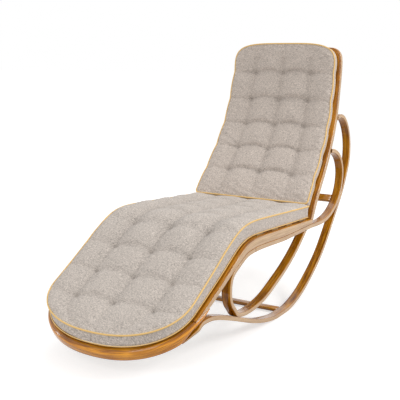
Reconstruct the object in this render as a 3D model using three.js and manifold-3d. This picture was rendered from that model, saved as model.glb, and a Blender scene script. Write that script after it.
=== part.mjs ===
import * as THREE from 'three';
import { mergeVertices } from 'three/addons/utils/BufferGeometryUtils.js';
import Module from 'manifold-3d';

// Rocking chaise of bent wood strips with two tufted cushions, in millimetres.
// +Z is up, +Y points to the head end, and X is the width.

// Driving sizes. The knee is the highest bend of the seat rails.
const frameWidth = 566;
const kneeToFront = 595;
const kneeToRear = 920;
const seatHeight = 345;
const backRise = 649;
const jointGap = 0.3;

// Bent strips of the two side frames
const stripWidth = 33;
const rockerThickness = 15;
const rockerTailThickness = 9;
const rockerTailInset = 6;
const rockerTipThickness = 5;
const loopThickness = 15;
const curlThickness = 16;
const stripStep = 27;
const fineStep = 4;
const leanStart = 300;
const leanBlend = 120;
const leanSlope = 0.072;

// Seat rails
const railTipThickness = 2.5;
const railSlopeThickness = 17;
const railBendThickness = 20;
const railKneeThickness = 31;
const railRearThickness = 18;

// Foot hoop
const footHoopWidth = 32;
const footHoopHeight = 41;
const footHoopEdge = 12;
const footHoopToeThickness = 2;
const footHoopToeEdge = 0.5;
const footSeatDepth = 25;
const footLensGap = 4;

// Back hoop
const backFootInset = 6;
const backTopInset = 38;
const backRodWidth = 30;
const backRodThickness = 24;
const backRodEdge = 5;
const backCornerRadius = 48;
const backTopCrown = 5;

// Cross bars
const lowerBarDepth = 32;
const lowerBarHeight = 12;
const lowerBarRise = 4.5;
const lowerBarShare = 0.24;
const upperBarDepth = 32;
const upperBarHeight = 14;
const upperBarDrop = 13;
const dowelRadius = 3;
const dowelLength = 36;
const dowelClearance = 0.3;

// Screws
const screwHeadRadius = 3.6;
const screwHeadHeight = 1.8;
const screwShankRadius = 1.8;
const screwClearance = 0.3;
const screwBite = 10;
const endBite = 20;
const shallowBite = 5;
const flushSink = 0.4;
const obliqueSink = 4;
const recessReach = 6;
const scarfScrewLength = 17;
const scarfScrewShift = 5;
const curlScrewShift = 7;

// Webbing
const webbingWidth = 50;
const webbingThickness = 2.5;
const webbingLap = 12;

// Seat cushion
const seatCushionInset = 16;
const seatFrontThickness = 40;
const seatKneeThickness = 54;
const seatRearThickness = 47;
const seatFrontLean = 12.5;
const seatCushionCrown = 9;
const seatSideDraw = 3;
const seatFrontCurve = 200;
const seatKneeStart = 430;
const seatKneeEnd = 560;
const seatRearGap = 3;
const seatTuftPitch = 124;
const seatFirstTuft = 143;
const seatTuftRows = 8;
const seatTuftSpacing = 151;
const seatTuftDepth = 13;

// Back cushion
const backCushionFootInset = 24;
const backCushionTopInset = 50;
const backCushionThickness = 38;
const backCushionCrown = 8;
const backSideDraw = 3;
const backCushionTopCurve = 110;
const backCushionLift = 9;
const backCushionOverhang = 10;
const backTuftPitch = 122;
const backFirstTuft = 127;
const backTuftRows = 5;
const backTuftFootSpacing = 151;
const backTuftTopSpacing = 125;
const backTuftDepth = 20;

// Form of both cushions
const cushionClearance = 0.6;
const tuftRadius = 34;
const creaseRadius = 17;
const creaseDepth = 4;
const edgeRoll = 26;

// Tie pegs behind the back posts
const pegRadius = 3.5;
const pegLength = 6;
const pegNeckRadius = 1.5;
const pegBite = 8;
const pegRise = 32;

// Counts and shares
const seatWebbings = 8;
const backWebbings = 5;
const stationsPerWebbing = 5;
const tuftEdgeShare = 0.62;
const rowShares = [0, 0.12, 0.3, 0.5, 0.7, 0.88];
const columnShares = [0, 0.35, 0.7, 1];
const rimShares = [0.35, 0.7, 1];
const seatFrontShares = [0.02, 0.06, 0.12, 0.22, 0.34];
const backTopShares = [0.6, 0.36, 0.2, 0.1, 0.04, 0.01];
const seatFrontPower = 2.25;
const backTopPower = 4.6;
const tangentShare = 1e-4;
const circleSteps = 10;
const footHoopSteps = 26;
const footHoopTurn = 0.1;
const footDeepenSteps = 2;
const backCornerSteps = 5;
const backTopSteps = 8;

const halfWidth = frameWidth / 2;
const rockerHalf = rockerThickness / 2;
const mergeReach = jointGap / 100;

// Places in the side view are shares: -1 is the front of the foot hoop, 0 the knee and 1 the rear
// of the rockers; in height 0 is the floor, 1 the top of the rail at the knee and 2 the top of the back.
const lengthPlace = (share) => share * (share < 0 ? kneeToFront : kneeToRear);

function sidePlace([lengthShare, heightShare]) {
  const y = lengthPlace(lengthShare);
  const z = Math.min(heightShare, 1) * seatHeight + Math.max(heightShare - 1, 0) * backRise;
  return new THREE.Vector2(y, z);
}

const seatLineShares = [
  [-0.975, 0.271], [-0.664, 0.536], [-0.503, 0.674], [-0.358, 0.806], [-0.252, 0.907],
  [-0.166, 0.971], [-0.072, 0.997], [0.037, 0.994], [0.217, 0.965], [0.511, 0.918], [0.609, 0.902],
];
const backLineShares = [
  [0.494, 0.86], [0.572, 1.072], [0.66, 1.21], [0.747, 1.366], [0.813, 1.529], [0.853, 1.695],
  [0.882, 1.851], [0.892, 2.02],
];
const rockerTailShares = [
  [-0.625, 0.444], [-0.571, 0.439], [-0.504, 0.416], [-0.42, 0.371], [-0.319, 0.309],
  [-0.202, 0.232], [-0.084, 0.157], [0.022, 0.094], [0.092, 0.051],
];
const rockerRearShares = [
  [0.326, 0.045], [0.424, 0.125], [0.522, 0.257], [0.62, 0.426], [0.707, 0.642], [0.804, 0.917],
  [0.88, 1.068], [0.939, 1.17], [0.975, 1.251], [0.99, 1.331], [0.987, 1.411], [0.963, 1.488],
  [0.924, 1.536], [0.883, 1.548], [0.838, 1.535],
];
const loopFrontShares = [
  [-0.331, 0.725], [-0.348, 0.661], [-0.353, 0.586], [-0.348, 0.51], [-0.329, 0.441], [-0.296, 0.377],
];
const loopRearShares = [
  [-0.168, 0.285], [-0.084, 0.283], [0, 0.296], [0.065, 0.33], [0.132, 0.391], [0.187, 0.446],
  [0.245, 0.51], [0.304, 0.588], [0.359, 0.675], [0.404, 0.758], [0.44, 0.832],
];
const curlRiseShares = [[0.594, 0.83], [0.663, 0.838], [0.722, 0.873], [0.782, 0.948]];
const curlTopShares = [
  [0.852, 1.068], [0.873, 1.125], [0.883, 1.182], [0.876, 1.24], [0.851, 1.29], [0.813, 1.321],
  [0.779, 1.334], [0.744, 1.337],
];

// Where things stand along the length
const rockerFlatShare = 0.22;
const rockerFlatLength = 64;
const footCurveShare = -0.647;
const footCurvePower = 2.24;
const scarfStartShare = -0.58;
const scarfEndShare = -0.714;
const legFullShare = -0.668;
const tailSeatShare = -0.682;
const tailMiddleShare = -0.765;
const tailTipShare = -0.803;
const tailInsetShare = 0.7;
const bendShare = -0.336;
const kneeStartShare = -0.1;
const kneeEndShare = 0.217;
const loopTopShare = -0.3;
const loopEndShare = -0.09;
const loopContactShare = -0.266;
const curlContactShares = [0.835, 1];
const railRearShare = 0.505;
const seatWebbingShare = -0.78;
const frontScarfShare = -0.68;
const rearScarfShare = -0.648;
const kneeScrewShare = -0.16;
const curlScrewShare = 0.16;

const wood = new THREE.MeshStandardMaterial({ color: 0xa9742a, roughness: 0.32, metalness: 0 });
const seatFabric = new THREE.MeshStandardMaterial({ color: 0xb5aca1, roughness: 0.95, metalness: 0 });
const backFabric = new THREE.MeshStandardMaterial({ color: 0xaca296, roughness: 0.95, metalness: 0 });
const webbing = new THREE.MeshStandardMaterial({ color: 0xcbbd9c, roughness: 0.9, metalness: 0 });
const brass = new THREE.MeshStandardMaterial({ color: 0xb08a45, roughness: 0.35, metalness: 1 });

const group = new THREE.Group();
const pieces = new Map();
const cuts = new Map();

function addPiece(name, geometry, material) {
  pieces.set(name, { geometry, material });
}

function addCut(names, geometry) {
  for (const name of names) {
    cuts.set(name, [...(cuts.get(name) ?? []), geometry]);
  }
}

// A cubic spline through points, measured by chord length. A direction given for an end fixes the
// tangent there; without one the end runs straight.
function spline(points, startDirection, endDirection) {
  const last = points.length - 1;
  const knots = [0];
  for (let i = 1; i <= last; i++) {
    knots.push(knots[i - 1] + points[i].distanceTo(points[i - 1]));
  }
  const slopesFor = (axis) => {
    const low = [];
    const middle = [];
    const high = [];
    const right = [];
    for (let i = 0; i <= last; i++) {
      const before = i > 0 ? knots[i] - knots[i - 1] : 0;
      const after = i < last ? knots[i + 1] - knots[i] : 0;
      const rise = (j) => (points[j + 1][axis] - points[j][axis]) / (knots[j + 1] - knots[j]);
      if (i === 0) {
        low.push(0);
        middle.push(startDirection ? 1 : 2);
        high.push(startDirection ? 0 : 1);
        right.push(startDirection ? startDirection[axis] : 3 * rise(0));
      } else if (i === last) {
        low.push(endDirection ? 0 : 1);
        middle.push(endDirection ? 1 : 2);
        high.push(0);
        right.push(endDirection ? endDirection[axis] : 3 * rise(last - 1));
      } else {
        low.push(after);
        middle.push(2 * (before + after));
        high.push(before);
        right.push(3 * (after * rise(i - 1) + before * rise(i)));
      }
    }
    for (let i = 1; i <= last; i++) {
      const factor = low[i] / middle[i - 1];
      middle[i] -= factor * high[i - 1];
      right[i] -= factor * right[i - 1];
    }
    const slopes = new Array(last + 1);
    slopes[last] = right[last] / middle[last];
    for (let i = last - 1; i >= 0; i--) {
      slopes[i] = (right[i] - high[i] * slopes[i + 1]) / middle[i];
    }
    return slopes;
  };
  const slopes = { x: slopesFor('x'), y: slopesFor('y') };
  const valueAt = (axis, i, t) => {
    const width = knots[i + 1] - knots[i];
    const start = points[i][axis];
    const end = points[i + 1][axis];
    const a = slopes[axis][i] * width - (end - start);
    const b = (end - start) - slopes[axis][i + 1] * width;
    return start + t * (end - start) + t * (1 - t) * (a * (1 - t) + b * t);
  };
  return (knot) => {
    let i = 0;
    while (i < last - 1 && knot > knots[i + 1]) i++;
    const t = (knot - knots[i]) / (knots[i + 1] - knots[i]);
    return new THREE.Vector2(valueAt('x', i, t), valueAt('y', i, t));
  };
}

const chordLength = (points) => points.slice(1).reduce((sum, p, i) => sum + p.distanceTo(points[i]), 0);

// A line in the side view: stations every so often, each with its place, tangent and normal.
// The normal is the tangent turned a quarter to the left.
function sampleLine(points, step, startDirection, endDirection) {
  const curve = spline(points, startDirection, endDirection);
  const length = chordLength(points);
  const count = Math.max(2, Math.round(length / step));
  return Array.from({ length: count + 1 }, (_, i) => stationOn(curve, length, (length * i) / count));
}

function stationOn(curve, length, knot) {
  const reach = length * tangentShare;
  const place = curve(knot);
  const ahead = curve(Math.min(length, knot + reach));
  const behind = curve(Math.max(0, knot - reach));
  const tangent = ahead.sub(behind).normalize();
  return { place, tangent, normal: new THREE.Vector2(-tangent.y, tangent.x), knot };
}

const shifted = (station, height) => ({
  ...station,
  place: station.place.clone().addScaledVector(station.normal, height),
});

// Station of a line nearest to a place along the length
function stationNear(line, share) {
  const y = lengthPlace(share);
  return line.reduce((best, s) => (Math.abs(s.place.x - y) < Math.abs(best.place.x - y) ? s : best));
}

const between = (low, high, value) => THREE.MathUtils.clamp((value - low) / (high - low), 0, 1);

// Outer face of a side frame. It leans inward above the seat.
function sideFace(z) {
  const rise = z - leanStart;
  if (rise < 0) return halfWidth;
  if (rise < leanBlend) return halfWidth - (leanSlope * rise * rise) / (2 * leanBlend);
  return halfWidth - leanSlope * (rise - leanBlend / 2);
}

// Outer face at the foot end, where the frame rounds inward as half an ellipse
const footCurveStart = footCurveShare * kneeToFront;
function footFace(y) {
  return halfWidth * (1 - between(footCurveStart, -kneeToFront, y) ** footCurvePower) ** (1 / footCurvePower);
}

// Joins rings of corners into one closed body
function ringsGeometry(rings) {
  const corners = rings[0].length;
  const positions = rings.flat().flatMap((p) => [p.x, p.y, p.z]);
  const indices = [];
  for (let i = 0; i < rings.length - 1; i++) {
    for (let j = 0; j < corners; j++) {
      const a = i * corners + j;
      const b = i * corners + ((j + 1) % corners);
      indices.push(a, b, b + corners, a, b + corners, a + corners);
    }
  }
  const end = (rings.length - 1) * corners;
  for (let j = 1; j < corners - 1; j++) {
    indices.push(0, j + 1, j, end, end + j, end + j + 1);
  }
  const geometry = new THREE.BufferGeometry();
  geometry.setAttribute('position', new THREE.Float32BufferAttribute(positions, 3));
  geometry.setIndex(indices);
  return facingOut(geometry);
}

function facingOut(geometry) {
  const index = geometry.index.array;
  const at = (i) => new THREE.Vector3().fromBufferAttribute(geometry.attributes.position, i);
  let volume = 0;
  for (let i = 0; i < index.length; i += 3) {
    volume += at(index[i]).dot(at(index[i + 1]).cross(at(index[i + 2])));
  }
  if (volume < 0) {
    for (let i = 0; i < index.length; i += 3) {
      [index[i + 1], index[i + 2]] = [index[i + 2], index[i + 1]];
    }
  }
  return geometry;
}

// Slides a ring along a direction until it lies in a plane of the side view
function cutRing(ring, direction, plane) {
  const slide = direction.dot(plane.normal);
  return ring.map((p) => {
    const height = (p.y - plane.place.x) * plane.normal.x + (p.z - plane.place.y) * plane.normal.y;
    const move = -height / slide;
    return new THREE.Vector3(p.x, p.y + direction.x * move, p.z + direction.y * move);
  });
}

// A strip of stations {place, tangent, normal, thickness, outer}, on the +X side or its mirror image
function stripGeometry(stations, side, startPlane, endPlane) {
  const rings = stations.map(({ place, normal, thickness, outer }) => {
    const half = thickness / 2;
    const corner = (x, sign) => new THREE.Vector3(
      side * x, place.x + sign * half * normal.x, place.y + sign * half * normal.y);
    const inner = outer - stripWidth;
    return [corner(outer, 1), corner(inner, 1), corner(inner, -1), corner(outer, -1)];
  });
  if (startPlane) rings[0] = cutRing(rings[0], stations[0].tangent, startPlane);
  if (endPlane) rings[rings.length - 1] = cutRing(rings.at(-1), stations.at(-1).tangent, endPlane);
  return ringsGeometry(rings);
}

const asStrip = (stations, thickness) => stations.map((s) => ({
  ...s, thickness, outer: sideFace(s.place.y),
}));

// Top of the seat rails: what lies below and above is measured along its normals
const seatPoints = seatLineShares.map(sidePlace);
const seatLine = sampleLine(seatPoints, webbingWidth / 2);
const fineSeatLine = sampleLine(seatPoints, fineStep);
const seatCurve = spline(seatPoints);
const seatAt = (knot) => stationOn(seatCurve, seatLine.at(-1).knot, knot);

// Rail thickness grows from the scarf to the knee and falls away to the rear
const railThicknessPlaces = [
  [scarfEndShare, railTipThickness], [scarfStartShare, railSlopeThickness],
  [bendShare, railBendThickness], [kneeStartShare, railKneeThickness],
  [kneeEndShare, railKneeThickness], [railRearShare, railRearThickness],
];
function railThicknessAt(y) {
  const places = railThicknessPlaces.map(([share, thickness]) => [lengthPlace(share), thickness]);
  let value = places[0][1];
  for (let i = 0; i < places.length - 1; i++) {
    const t = between(places[i][0], places[i + 1][0], y);
    value += (places[i + 1][1] - places[i][1]) * t;
  }
  return value;
}

const railStations = seatLine
  .filter((s) => s.place.x > lengthPlace(scarfEndShare) && s.place.x < lengthPlace(railRearShare))
  .map((s) => ({ ...s, thickness: railThicknessAt(s.place.x) }));

// Front face of the back hoop
const backPoints = backLineShares.map(sidePlace);
const backLine = sampleLine(backPoints, webbingWidth / 2);
const fineBackLine = sampleLine(backPoints, fineStep);
const backLength = backLine.at(-1).knot;
const backTop = backLength - (backLine.at(-1).place.y - seatHeight - backRise);
const backCurve = spline(backPoints);
const backAt = (knot) => stationOn(backCurve, backLength, knot);
const backHalfWidth = (knot) => (
  halfWidth - THREE.MathUtils.lerp(backFootInset, backTopInset, knot / backLength));
const nearestOn = (line, place) => line.reduce((best, s) => (
  s.place.distanceTo(place) < best.place.distanceTo(place) ? s : best));
const planeAt = (station, height) => ({ place: shifted(station, height).place, normal: station.normal });
const gapTo = (line, place) => nearestOn(line, place).place.distanceTo(place);
const seatEnd = fineSeatLine.reduce((best, s) => (
  gapTo(fineBackLine, s.place) < gapTo(fineBackLine, best.place) ? s : best));

// Rocker: a tail under the foot, a flat where it stands and a hook up to the back post
const flatStart = new THREE.Vector2(lengthPlace(rockerFlatShare) - rockerFlatLength / 2, rockerHalf);
const flatEnd = new THREE.Vector2(lengthPlace(rockerFlatShare) + rockerFlatLength / 2, rockerHalf);
const level = new THREE.Vector2(1, 0);

function underFoot(share, depth) {
  const station = stationNear(fineSeatLine, share);
  return { ...shifted(station, -depth), outer: footFace(station.place.x) };
}
const tailTip = underFoot(tailTipShare, footHoopHeight + jointGap + rockerTipThickness / 2);
const tailMiddle = underFoot(
  tailMiddleShare, (footSeatDepth + footHoopHeight) / 2 + footLensGap + rockerTailThickness / 2);
const tailSeat = underFoot(tailSeatShare, footSeatDepth + jointGap + rockerHalf);

const tailStations = sampleLine(
  [tailTip.place, tailMiddle.place, tailSeat.place], stripStep, tailTip.tangent, tailSeat.tangent)
  .map((s, i, all) => {
    const share = i / (all.length - 1);
    const thickness = THREE.MathUtils.lerp(rockerTipThickness, rockerThickness, share);
    const outer = THREE.MathUtils.lerp(
      tailTip.outer - rockerTailInset, tailSeat.outer, between(0, tailInsetShare, share));
    return { ...s, thickness, outer };
  });
const rockerFront = sampleLine(
  [tailSeat.place, ...rockerTailShares.map(sidePlace), flatStart], stripStep, tailSeat.tangent, level);
const rockerRear = sampleLine([flatEnd, ...rockerRearShares.map(sidePlace)], stripStep, level);
const rockerStations = [
  ...tailStations.slice(0, -1),
  ...asStrip([...rockerFront, ...rockerRear], rockerThickness),
];

// Loop: starts as the lower layer of the rail at the knee, drops in front, bears on the rocker and
// climbs to the curl's underside
const layer = (stations, thickness) => stations.map((s) => (
  shifted(s, -(s.thickness + jointGap + thickness / 2))));
const turned = (s) => ({ ...s, tangent: s.tangent.clone().negate(), normal: s.normal.clone().negate() });
const railBetween = (from, to) => railStations.filter((s) => (
  s.place.x > lengthPlace(from) && s.place.x < lengthPlace(to)));
const curlFirst = railStations.findIndex((s) => s.place.x > lengthPlace(loopEndShare));
const loopFirst = railStations.findIndex((s) => s.place.x > lengthPlace(loopTopShare));
const loopTop = layer(railStations.slice(loopFirst, curlFirst + 1), loopThickness)
  .reverse().map(turned);
const loopTurn = loopTop.at(-1);
const loopSeat = shifted(
  stationNear(rockerFront, loopContactShare), rockerHalf + jointGap + loopThickness / 2);
const loopFront = sampleLine(
  [loopTurn.place, ...loopFrontShares.map(sidePlace), loopSeat.place],
  stripStep, loopTurn.tangent, loopSeat.tangent);
const loopRear = sampleLine(
  [loopSeat.place, ...loopRearShares.map(sidePlace)], stripStep, loopSeat.tangent);
const loopStations = asStrip(
  [...loopTop.slice(0, -1), ...loopFront.slice(0, -1), ...loopRear], loopThickness);

// Curl: the lower layer of the rail behind the knee, then a free curl up to the back post
const curlBottom = layer(railStations.slice(curlFirst), curlThickness);
const curlTurn = curlBottom.at(-1);
const curlSeat = shifted(
  nearestOn(rockerRear, sidePlace(curlContactShares)), rockerHalf + jointGap + curlThickness / 2);
const risePoints = [curlTurn.place, ...curlRiseShares.map(sidePlace), curlSeat.place];
const curlRise = sampleLine(risePoints, stripStep, curlTurn.tangent, curlSeat.tangent);
const fineCurlRise = sampleLine(risePoints, fineStep, curlTurn.tangent, curlSeat.tangent);
const curlTop = sampleLine(
  [curlSeat.place, ...curlTopShares.map(sidePlace)], stripStep, curlSeat.tangent);
const curlStations = asStrip(
  [...curlBottom.slice(0, -1), ...curlRise.slice(0, -1), ...curlTop], curlThickness);

// Faces that the strips end on
const crossPlane = (station, along) => ({
  place: station.place.clone().addScaledVector(station.tangent, along),
  normal: station.tangent,
});
const postBack = (stations) => planeAt(
  nearestOn(fineBackLine, stations.at(-1).place), -backRodThickness - jointGap);
const railFace = planeAt(nearestOn(fineBackLine, seatEnd.place), jointGap);
function facePlane(stations, place, height) {
  const near = stations.indexOf(nearestOn(stations, place));
  const at = (i) => shifted(stations[THREE.MathUtils.clamp(i, 0, stations.length - 1)], height).place;
  const along = at(near + 1).sub(at(near - 1)).normalize();
  return { place: at(near), normal: new THREE.Vector2(-along.y, along.x) };
}
const curlUnderside = facePlane(
  curlStations, loopStations.at(-1).place, -curlThickness / 2 - jointGap);
const loopBackEnd = crossPlane(curlBottom[0], -jointGap);
const curlUpperside = facePlane(
  curlStations, backLine[0].place, curlThickness / 2 + jointGap);

// The rail's own stations run along its top, so its middle lies half a thickness lower
const railStrip = railStations.map((s) => ({
  ...shifted(s, -s.thickness / 2),
  outer: Math.min(footFace(s.place.x), sideFace(s.place.y)),
}));

const sides = [['right', 1], ['left', -1]];
for (const [name, side] of sides) {
  addPiece(`seat_rail_${name}`, stripGeometry(railStrip, side, null, railFace), wood);
  addPiece(`rocker_${name}`, stripGeometry(rockerStations, side, null, postBack(rockerStations)), wood);
  addPiece(`loop_${name}`, stripGeometry(loopStations, side, loopBackEnd, curlUnderside), wood);
  addPiece(`curl_${name}`, stripGeometry(curlStations, side, null, postBack(curlStations)), wood);
}

// An eight-cornered section: outward across, up along its second direction
function roundedRing({ centre, outward, up, width, top, bottom, edge }) {
  const half = width / 2;
  const corner = (across, height) => centre.clone()
    .addScaledVector(outward, across).addScaledVector(up, height);
  return [
    corner(half, top - edge), corner(half - edge, top), corner(edge - half, top),
    corner(-half, top - edge), corner(-half, bottom + edge), corner(edge - half, bottom),
    corner(half - edge, bottom), corner(half, bottom + edge),
  ];
}

const inSpace = (x, place) => new THREE.Vector3(x, place.x, place.y);
const direction = (vector) => new THREE.Vector3(0, vector.x, vector.y);

// Foot hoop: each leg is scarfed under a rail's tip, and the front is half an ellipse on the slope
function footHoopRings() {
  const legs = railBetween(scarfEndShare, scarfStartShare).reverse();
  const legRing = (station, side) => {
    const grown = between(lengthPlace(scarfStartShare), lengthPlace(scarfEndShare), station.place.x);
    const top = -(station.thickness + jointGap);
    const deepened = between(lengthPlace(scarfStartShare), lengthPlace(legFullShare), station.place.x);
    const full = THREE.MathUtils.lerp(
      railSlopeThickness + jointGap + footHoopToeThickness, footSeatDepth, deepened);
    return roundedRing({
      centre: inSpace(side * (footFace(station.place.x) - footHoopWidth / 2), station.place),
      outward: new THREE.Vector3(side, 0, 0),
      up: direction(station.normal),
      width: footHoopWidth,
      top,
      bottom: -full,
      edge: Math.min(footHoopToeEdge + footHoopEdge * grown, (top + full) / 3),
    });
  };
  const root = stationNear(fineSeatLine, footCurveShare);
  const span = halfWidth - footHoopWidth / 2;
  const slope = Math.abs(root.tangent.x);
  const reach = (kneeToFront + lengthPlace(footCurveShare)) / slope - footHoopWidth / 2;
  const legEnd = legs.at(-1).place.distanceTo(root.place) / reach;
  const startAngle = Math.asin(legEnd ** (footCurvePower / 2)) + footHoopTurn;
  const along = 2 / footCurvePower;
  const across = 2 - along;
  const rings = [];
  for (let i = 0; i <= footHoopSteps; i++) {
    const angle = THREE.MathUtils.lerp(startAngle, Math.PI - startAngle, i / footHoopSteps);
    const deepened = between(0, footDeepenSteps, Math.min(i, footHoopSteps - i));
    const [sine, cosine] = [Math.sin(angle), Math.abs(Math.cos(angle))];
    const side = Math.sign(Math.cos(angle));
    const forward = root.place.clone().addScaledVector(root.tangent, -reach * sine ** along);
    const outward = new THREE.Vector3(side * cosine ** across / span, 0, 0)
      .addScaledVector(direction(root.tangent), -(sine ** across) / reach).normalize();
    rings.push(roundedRing({
      centre: inSpace(side * span * cosine ** along, forward),
      outward,
      up: direction(root.normal),
      width: footHoopWidth,
      top: 0,
      bottom: -THREE.MathUtils.lerp(footSeatDepth, footHoopHeight, deepened),
      edge: footHoopEdge,
    }));
  }
  return [
    ...legs.map((s) => legRing(s, 1)),
    ...rings,
    ...legs.toReversed().map((s) => legRing(s, -1)),
  ];
}
addPiece('foot_hoop', ringsGeometry(footHoopRings()), wood);

// Back hoop: two posts that lean together, round corners and a slightly crowned top
function backHoopRings() {
  const radius = backCornerRadius - backRodWidth / 2;
  const topKnot = backTop - backRodWidth / 2 - backTopCrown;
  const postCentre = (knot) => backHalfWidth(knot) - backRodWidth / 2;
  const ring = (knot, x, across, along) => {
    const station = backAt(knot);
    const outward = new THREE.Vector3(across, 0, 0)
      .addScaledVector(direction(station.tangent), along).normalize();
    return roundedRing({
      centre: inSpace(x, station.place),
      outward,
      up: direction(station.normal),
      width: backRodWidth,
      top: 0,
      bottom: -backRodThickness,
      edge: backRodEdge,
    });
  };
  const half = [];
  for (const station of backLine) {
    if (station.knot < topKnot - radius - webbingWidth / 4) {
      half.push((side) => ring(station.knot, side * postCentre(station.knot), side, 0));
    }
  }
  const turnX = postCentre(topKnot) - radius;
  for (let i = 0; i <= backCornerSteps; i++) {
    const angle = (Math.PI / 2) * (i / backCornerSteps);
    half.push((side) => ring(
      topKnot - radius + radius * Math.sin(angle), side * (turnX + radius * Math.cos(angle)),
      side * Math.cos(angle), Math.sin(angle)));
  }
  const right = half.map((make) => make(1));
  const left = half.map((make) => make(-1)).reverse();
  const crown = [];
  for (let i = 1; i < backTopSteps; i++) {
    const share = 1 - (2 * i) / backTopSteps;
    crown.push(ring(topKnot + backTopCrown * (1 - share * share), turnX * share, 0, 1));
  }
  const rings = [...right, ...crown, ...left];
  rings[0] = cutRing(rings[0], backLine[0].tangent, curlUpperside);
  rings[rings.length - 1] = cutRing(rings.at(-1), backLine[0].tangent, curlUpperside);
  return rings;
}
addPiece('back_hoop', ringsGeometry(backHoopRings()), wood);

// Cross bars between the two side frames
function barGeometry({ place, tangent, normal }, depth, thickness) {
  const reach = sideFace(place.y + depth / 2) - stripWidth - jointGap;
  const corners = [[1, 1], [-1, 1], [-1, -1], [1, -1]];
  const ring = (x) => corners.map(([along, up]) => inSpace(x, place.clone()
    .addScaledVector(tangent, (along * depth) / 2).addScaledVector(normal, (up * thickness) / 2)));
  return ringsGeometry([ring(-reach), ring(reach)]);
}
const onFlat = {
  place: new THREE.Vector2(lengthPlace(lowerBarShare), rockerHalf),
  tangent: level,
  normal: new THREE.Vector2(0, 1),
};
const lowerBarStation = shifted(onFlat, lowerBarRise + lowerBarHeight / 2 - rockerHalf);
addPiece('lower_cross_bar', barGeometry(lowerBarStation, lowerBarDepth, lowerBarHeight), wood);
const upperBarStation = nearestOn(
  fineCurlRise, curlSeat.place.clone().addScaledVector(curlSeat.tangent, -upperBarDrop));
addPiece('upper_cross_bar', barGeometry(upperBarStation, upperBarDepth, upperBarHeight), wood);

// Merges a turned body's seam and poles and drops the faces that close up there
function closedBody(geometry) {
  geometry.deleteAttribute('normal');
  geometry.deleteAttribute('uv');
  const merged = mergeVertices(geometry, mergeReach);
  const kept = [];
  const index = merged.index.array;
  for (let i = 0; i < index.length; i += 3) {
    const [a, b, c] = [index[i], index[i + 1], index[i + 2]];
    if (a !== b && b !== c && c !== a) kept.push(a, b, c);
  }
  merged.setIndex(kept);
  return facingOut(merged);
}

// A round body from a profile of [radius, depth] pairs, with its depth along an axis from a start
function turnedBody(profile, start, axis) {
  const geometry = new THREE.LatheGeometry(
    profile.map(([radius, depth]) => new THREE.Vector2(radius, -depth)), circleSteps);
  geometry.applyQuaternion(
    new THREE.Quaternion().setFromUnitVectors(new THREE.Vector3(0, -1, 0), axis));
  geometry.translate(start.x, start.y, start.z);
  return closedBody(geometry);
}

const rod = (radius, from, to) => [[0, from], [radius, from], [radius, to], [0, to]];
const stepped = (headRadius, from, step, shankRadius, to) => [
  [0, from], [headRadius, from], [headRadius, step], [shankRadius, step], [shankRadius, to], [0, to],
];

// A screw enters the wood at a place of the side view; its hole is cut in the pieces that it holds
function addScrew({ name, side, place, into, length, holds, shift = 0, sink = flushSink }) {
  const centre = Math.min(sideFace(place.y), footFace(place.x)) - stripWidth / 2;
  const start = inSpace(side * (centre + shift), place);
  const axis = direction(into);
  const step = sink + screwHeadHeight;
  const end = sink + length;
  addPiece(name, turnedBody(
    stepped(screwHeadRadius, sink, step, screwShankRadius, end), start, axis), brass);
  addCut(holds, turnedBody(stepped(
    screwHeadRadius + screwClearance, -recessReach, step + screwClearance,
    screwShankRadius + screwClearance, end + screwClearance), start, axis));
}

const down = (station) => station.normal.clone().negate();
const backwards = (station) => station.tangent.clone().negate();
const onRail = (place) => {
  const station = nearestOn(fineSeatLine, place);
  return { ...station, thickness: railThicknessAt(station.place.x) };
};
const scarfFront = stationNear(fineSeatLine, frontScarfShare);
const scarfRear = stationNear(fineSeatLine, rearScarfShare);
const kneeJoint = stationNear(railStations, kneeScrewShare);
const curlJoint = stationNear(railStations, curlScrewShare);
const loopJoint = onRail(loopStations.at(-1).place);
const rockerEnd = rockerStations.at(-1);
const curlEnd = curlStations.at(-1);

// The foot of a post stands on the curl, so its screw comes up through the curl along the post
const post = shifted(backLine[0], -backRodThickness / 2);
const offPost = (station) => Math.abs(
  shifted(station, -curlThickness / 2).place.sub(post.place).dot(post.normal));
const postFoot = fineCurlRise.reduce((best, s) => (offPost(s) < offPost(best) ? s : best));

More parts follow.
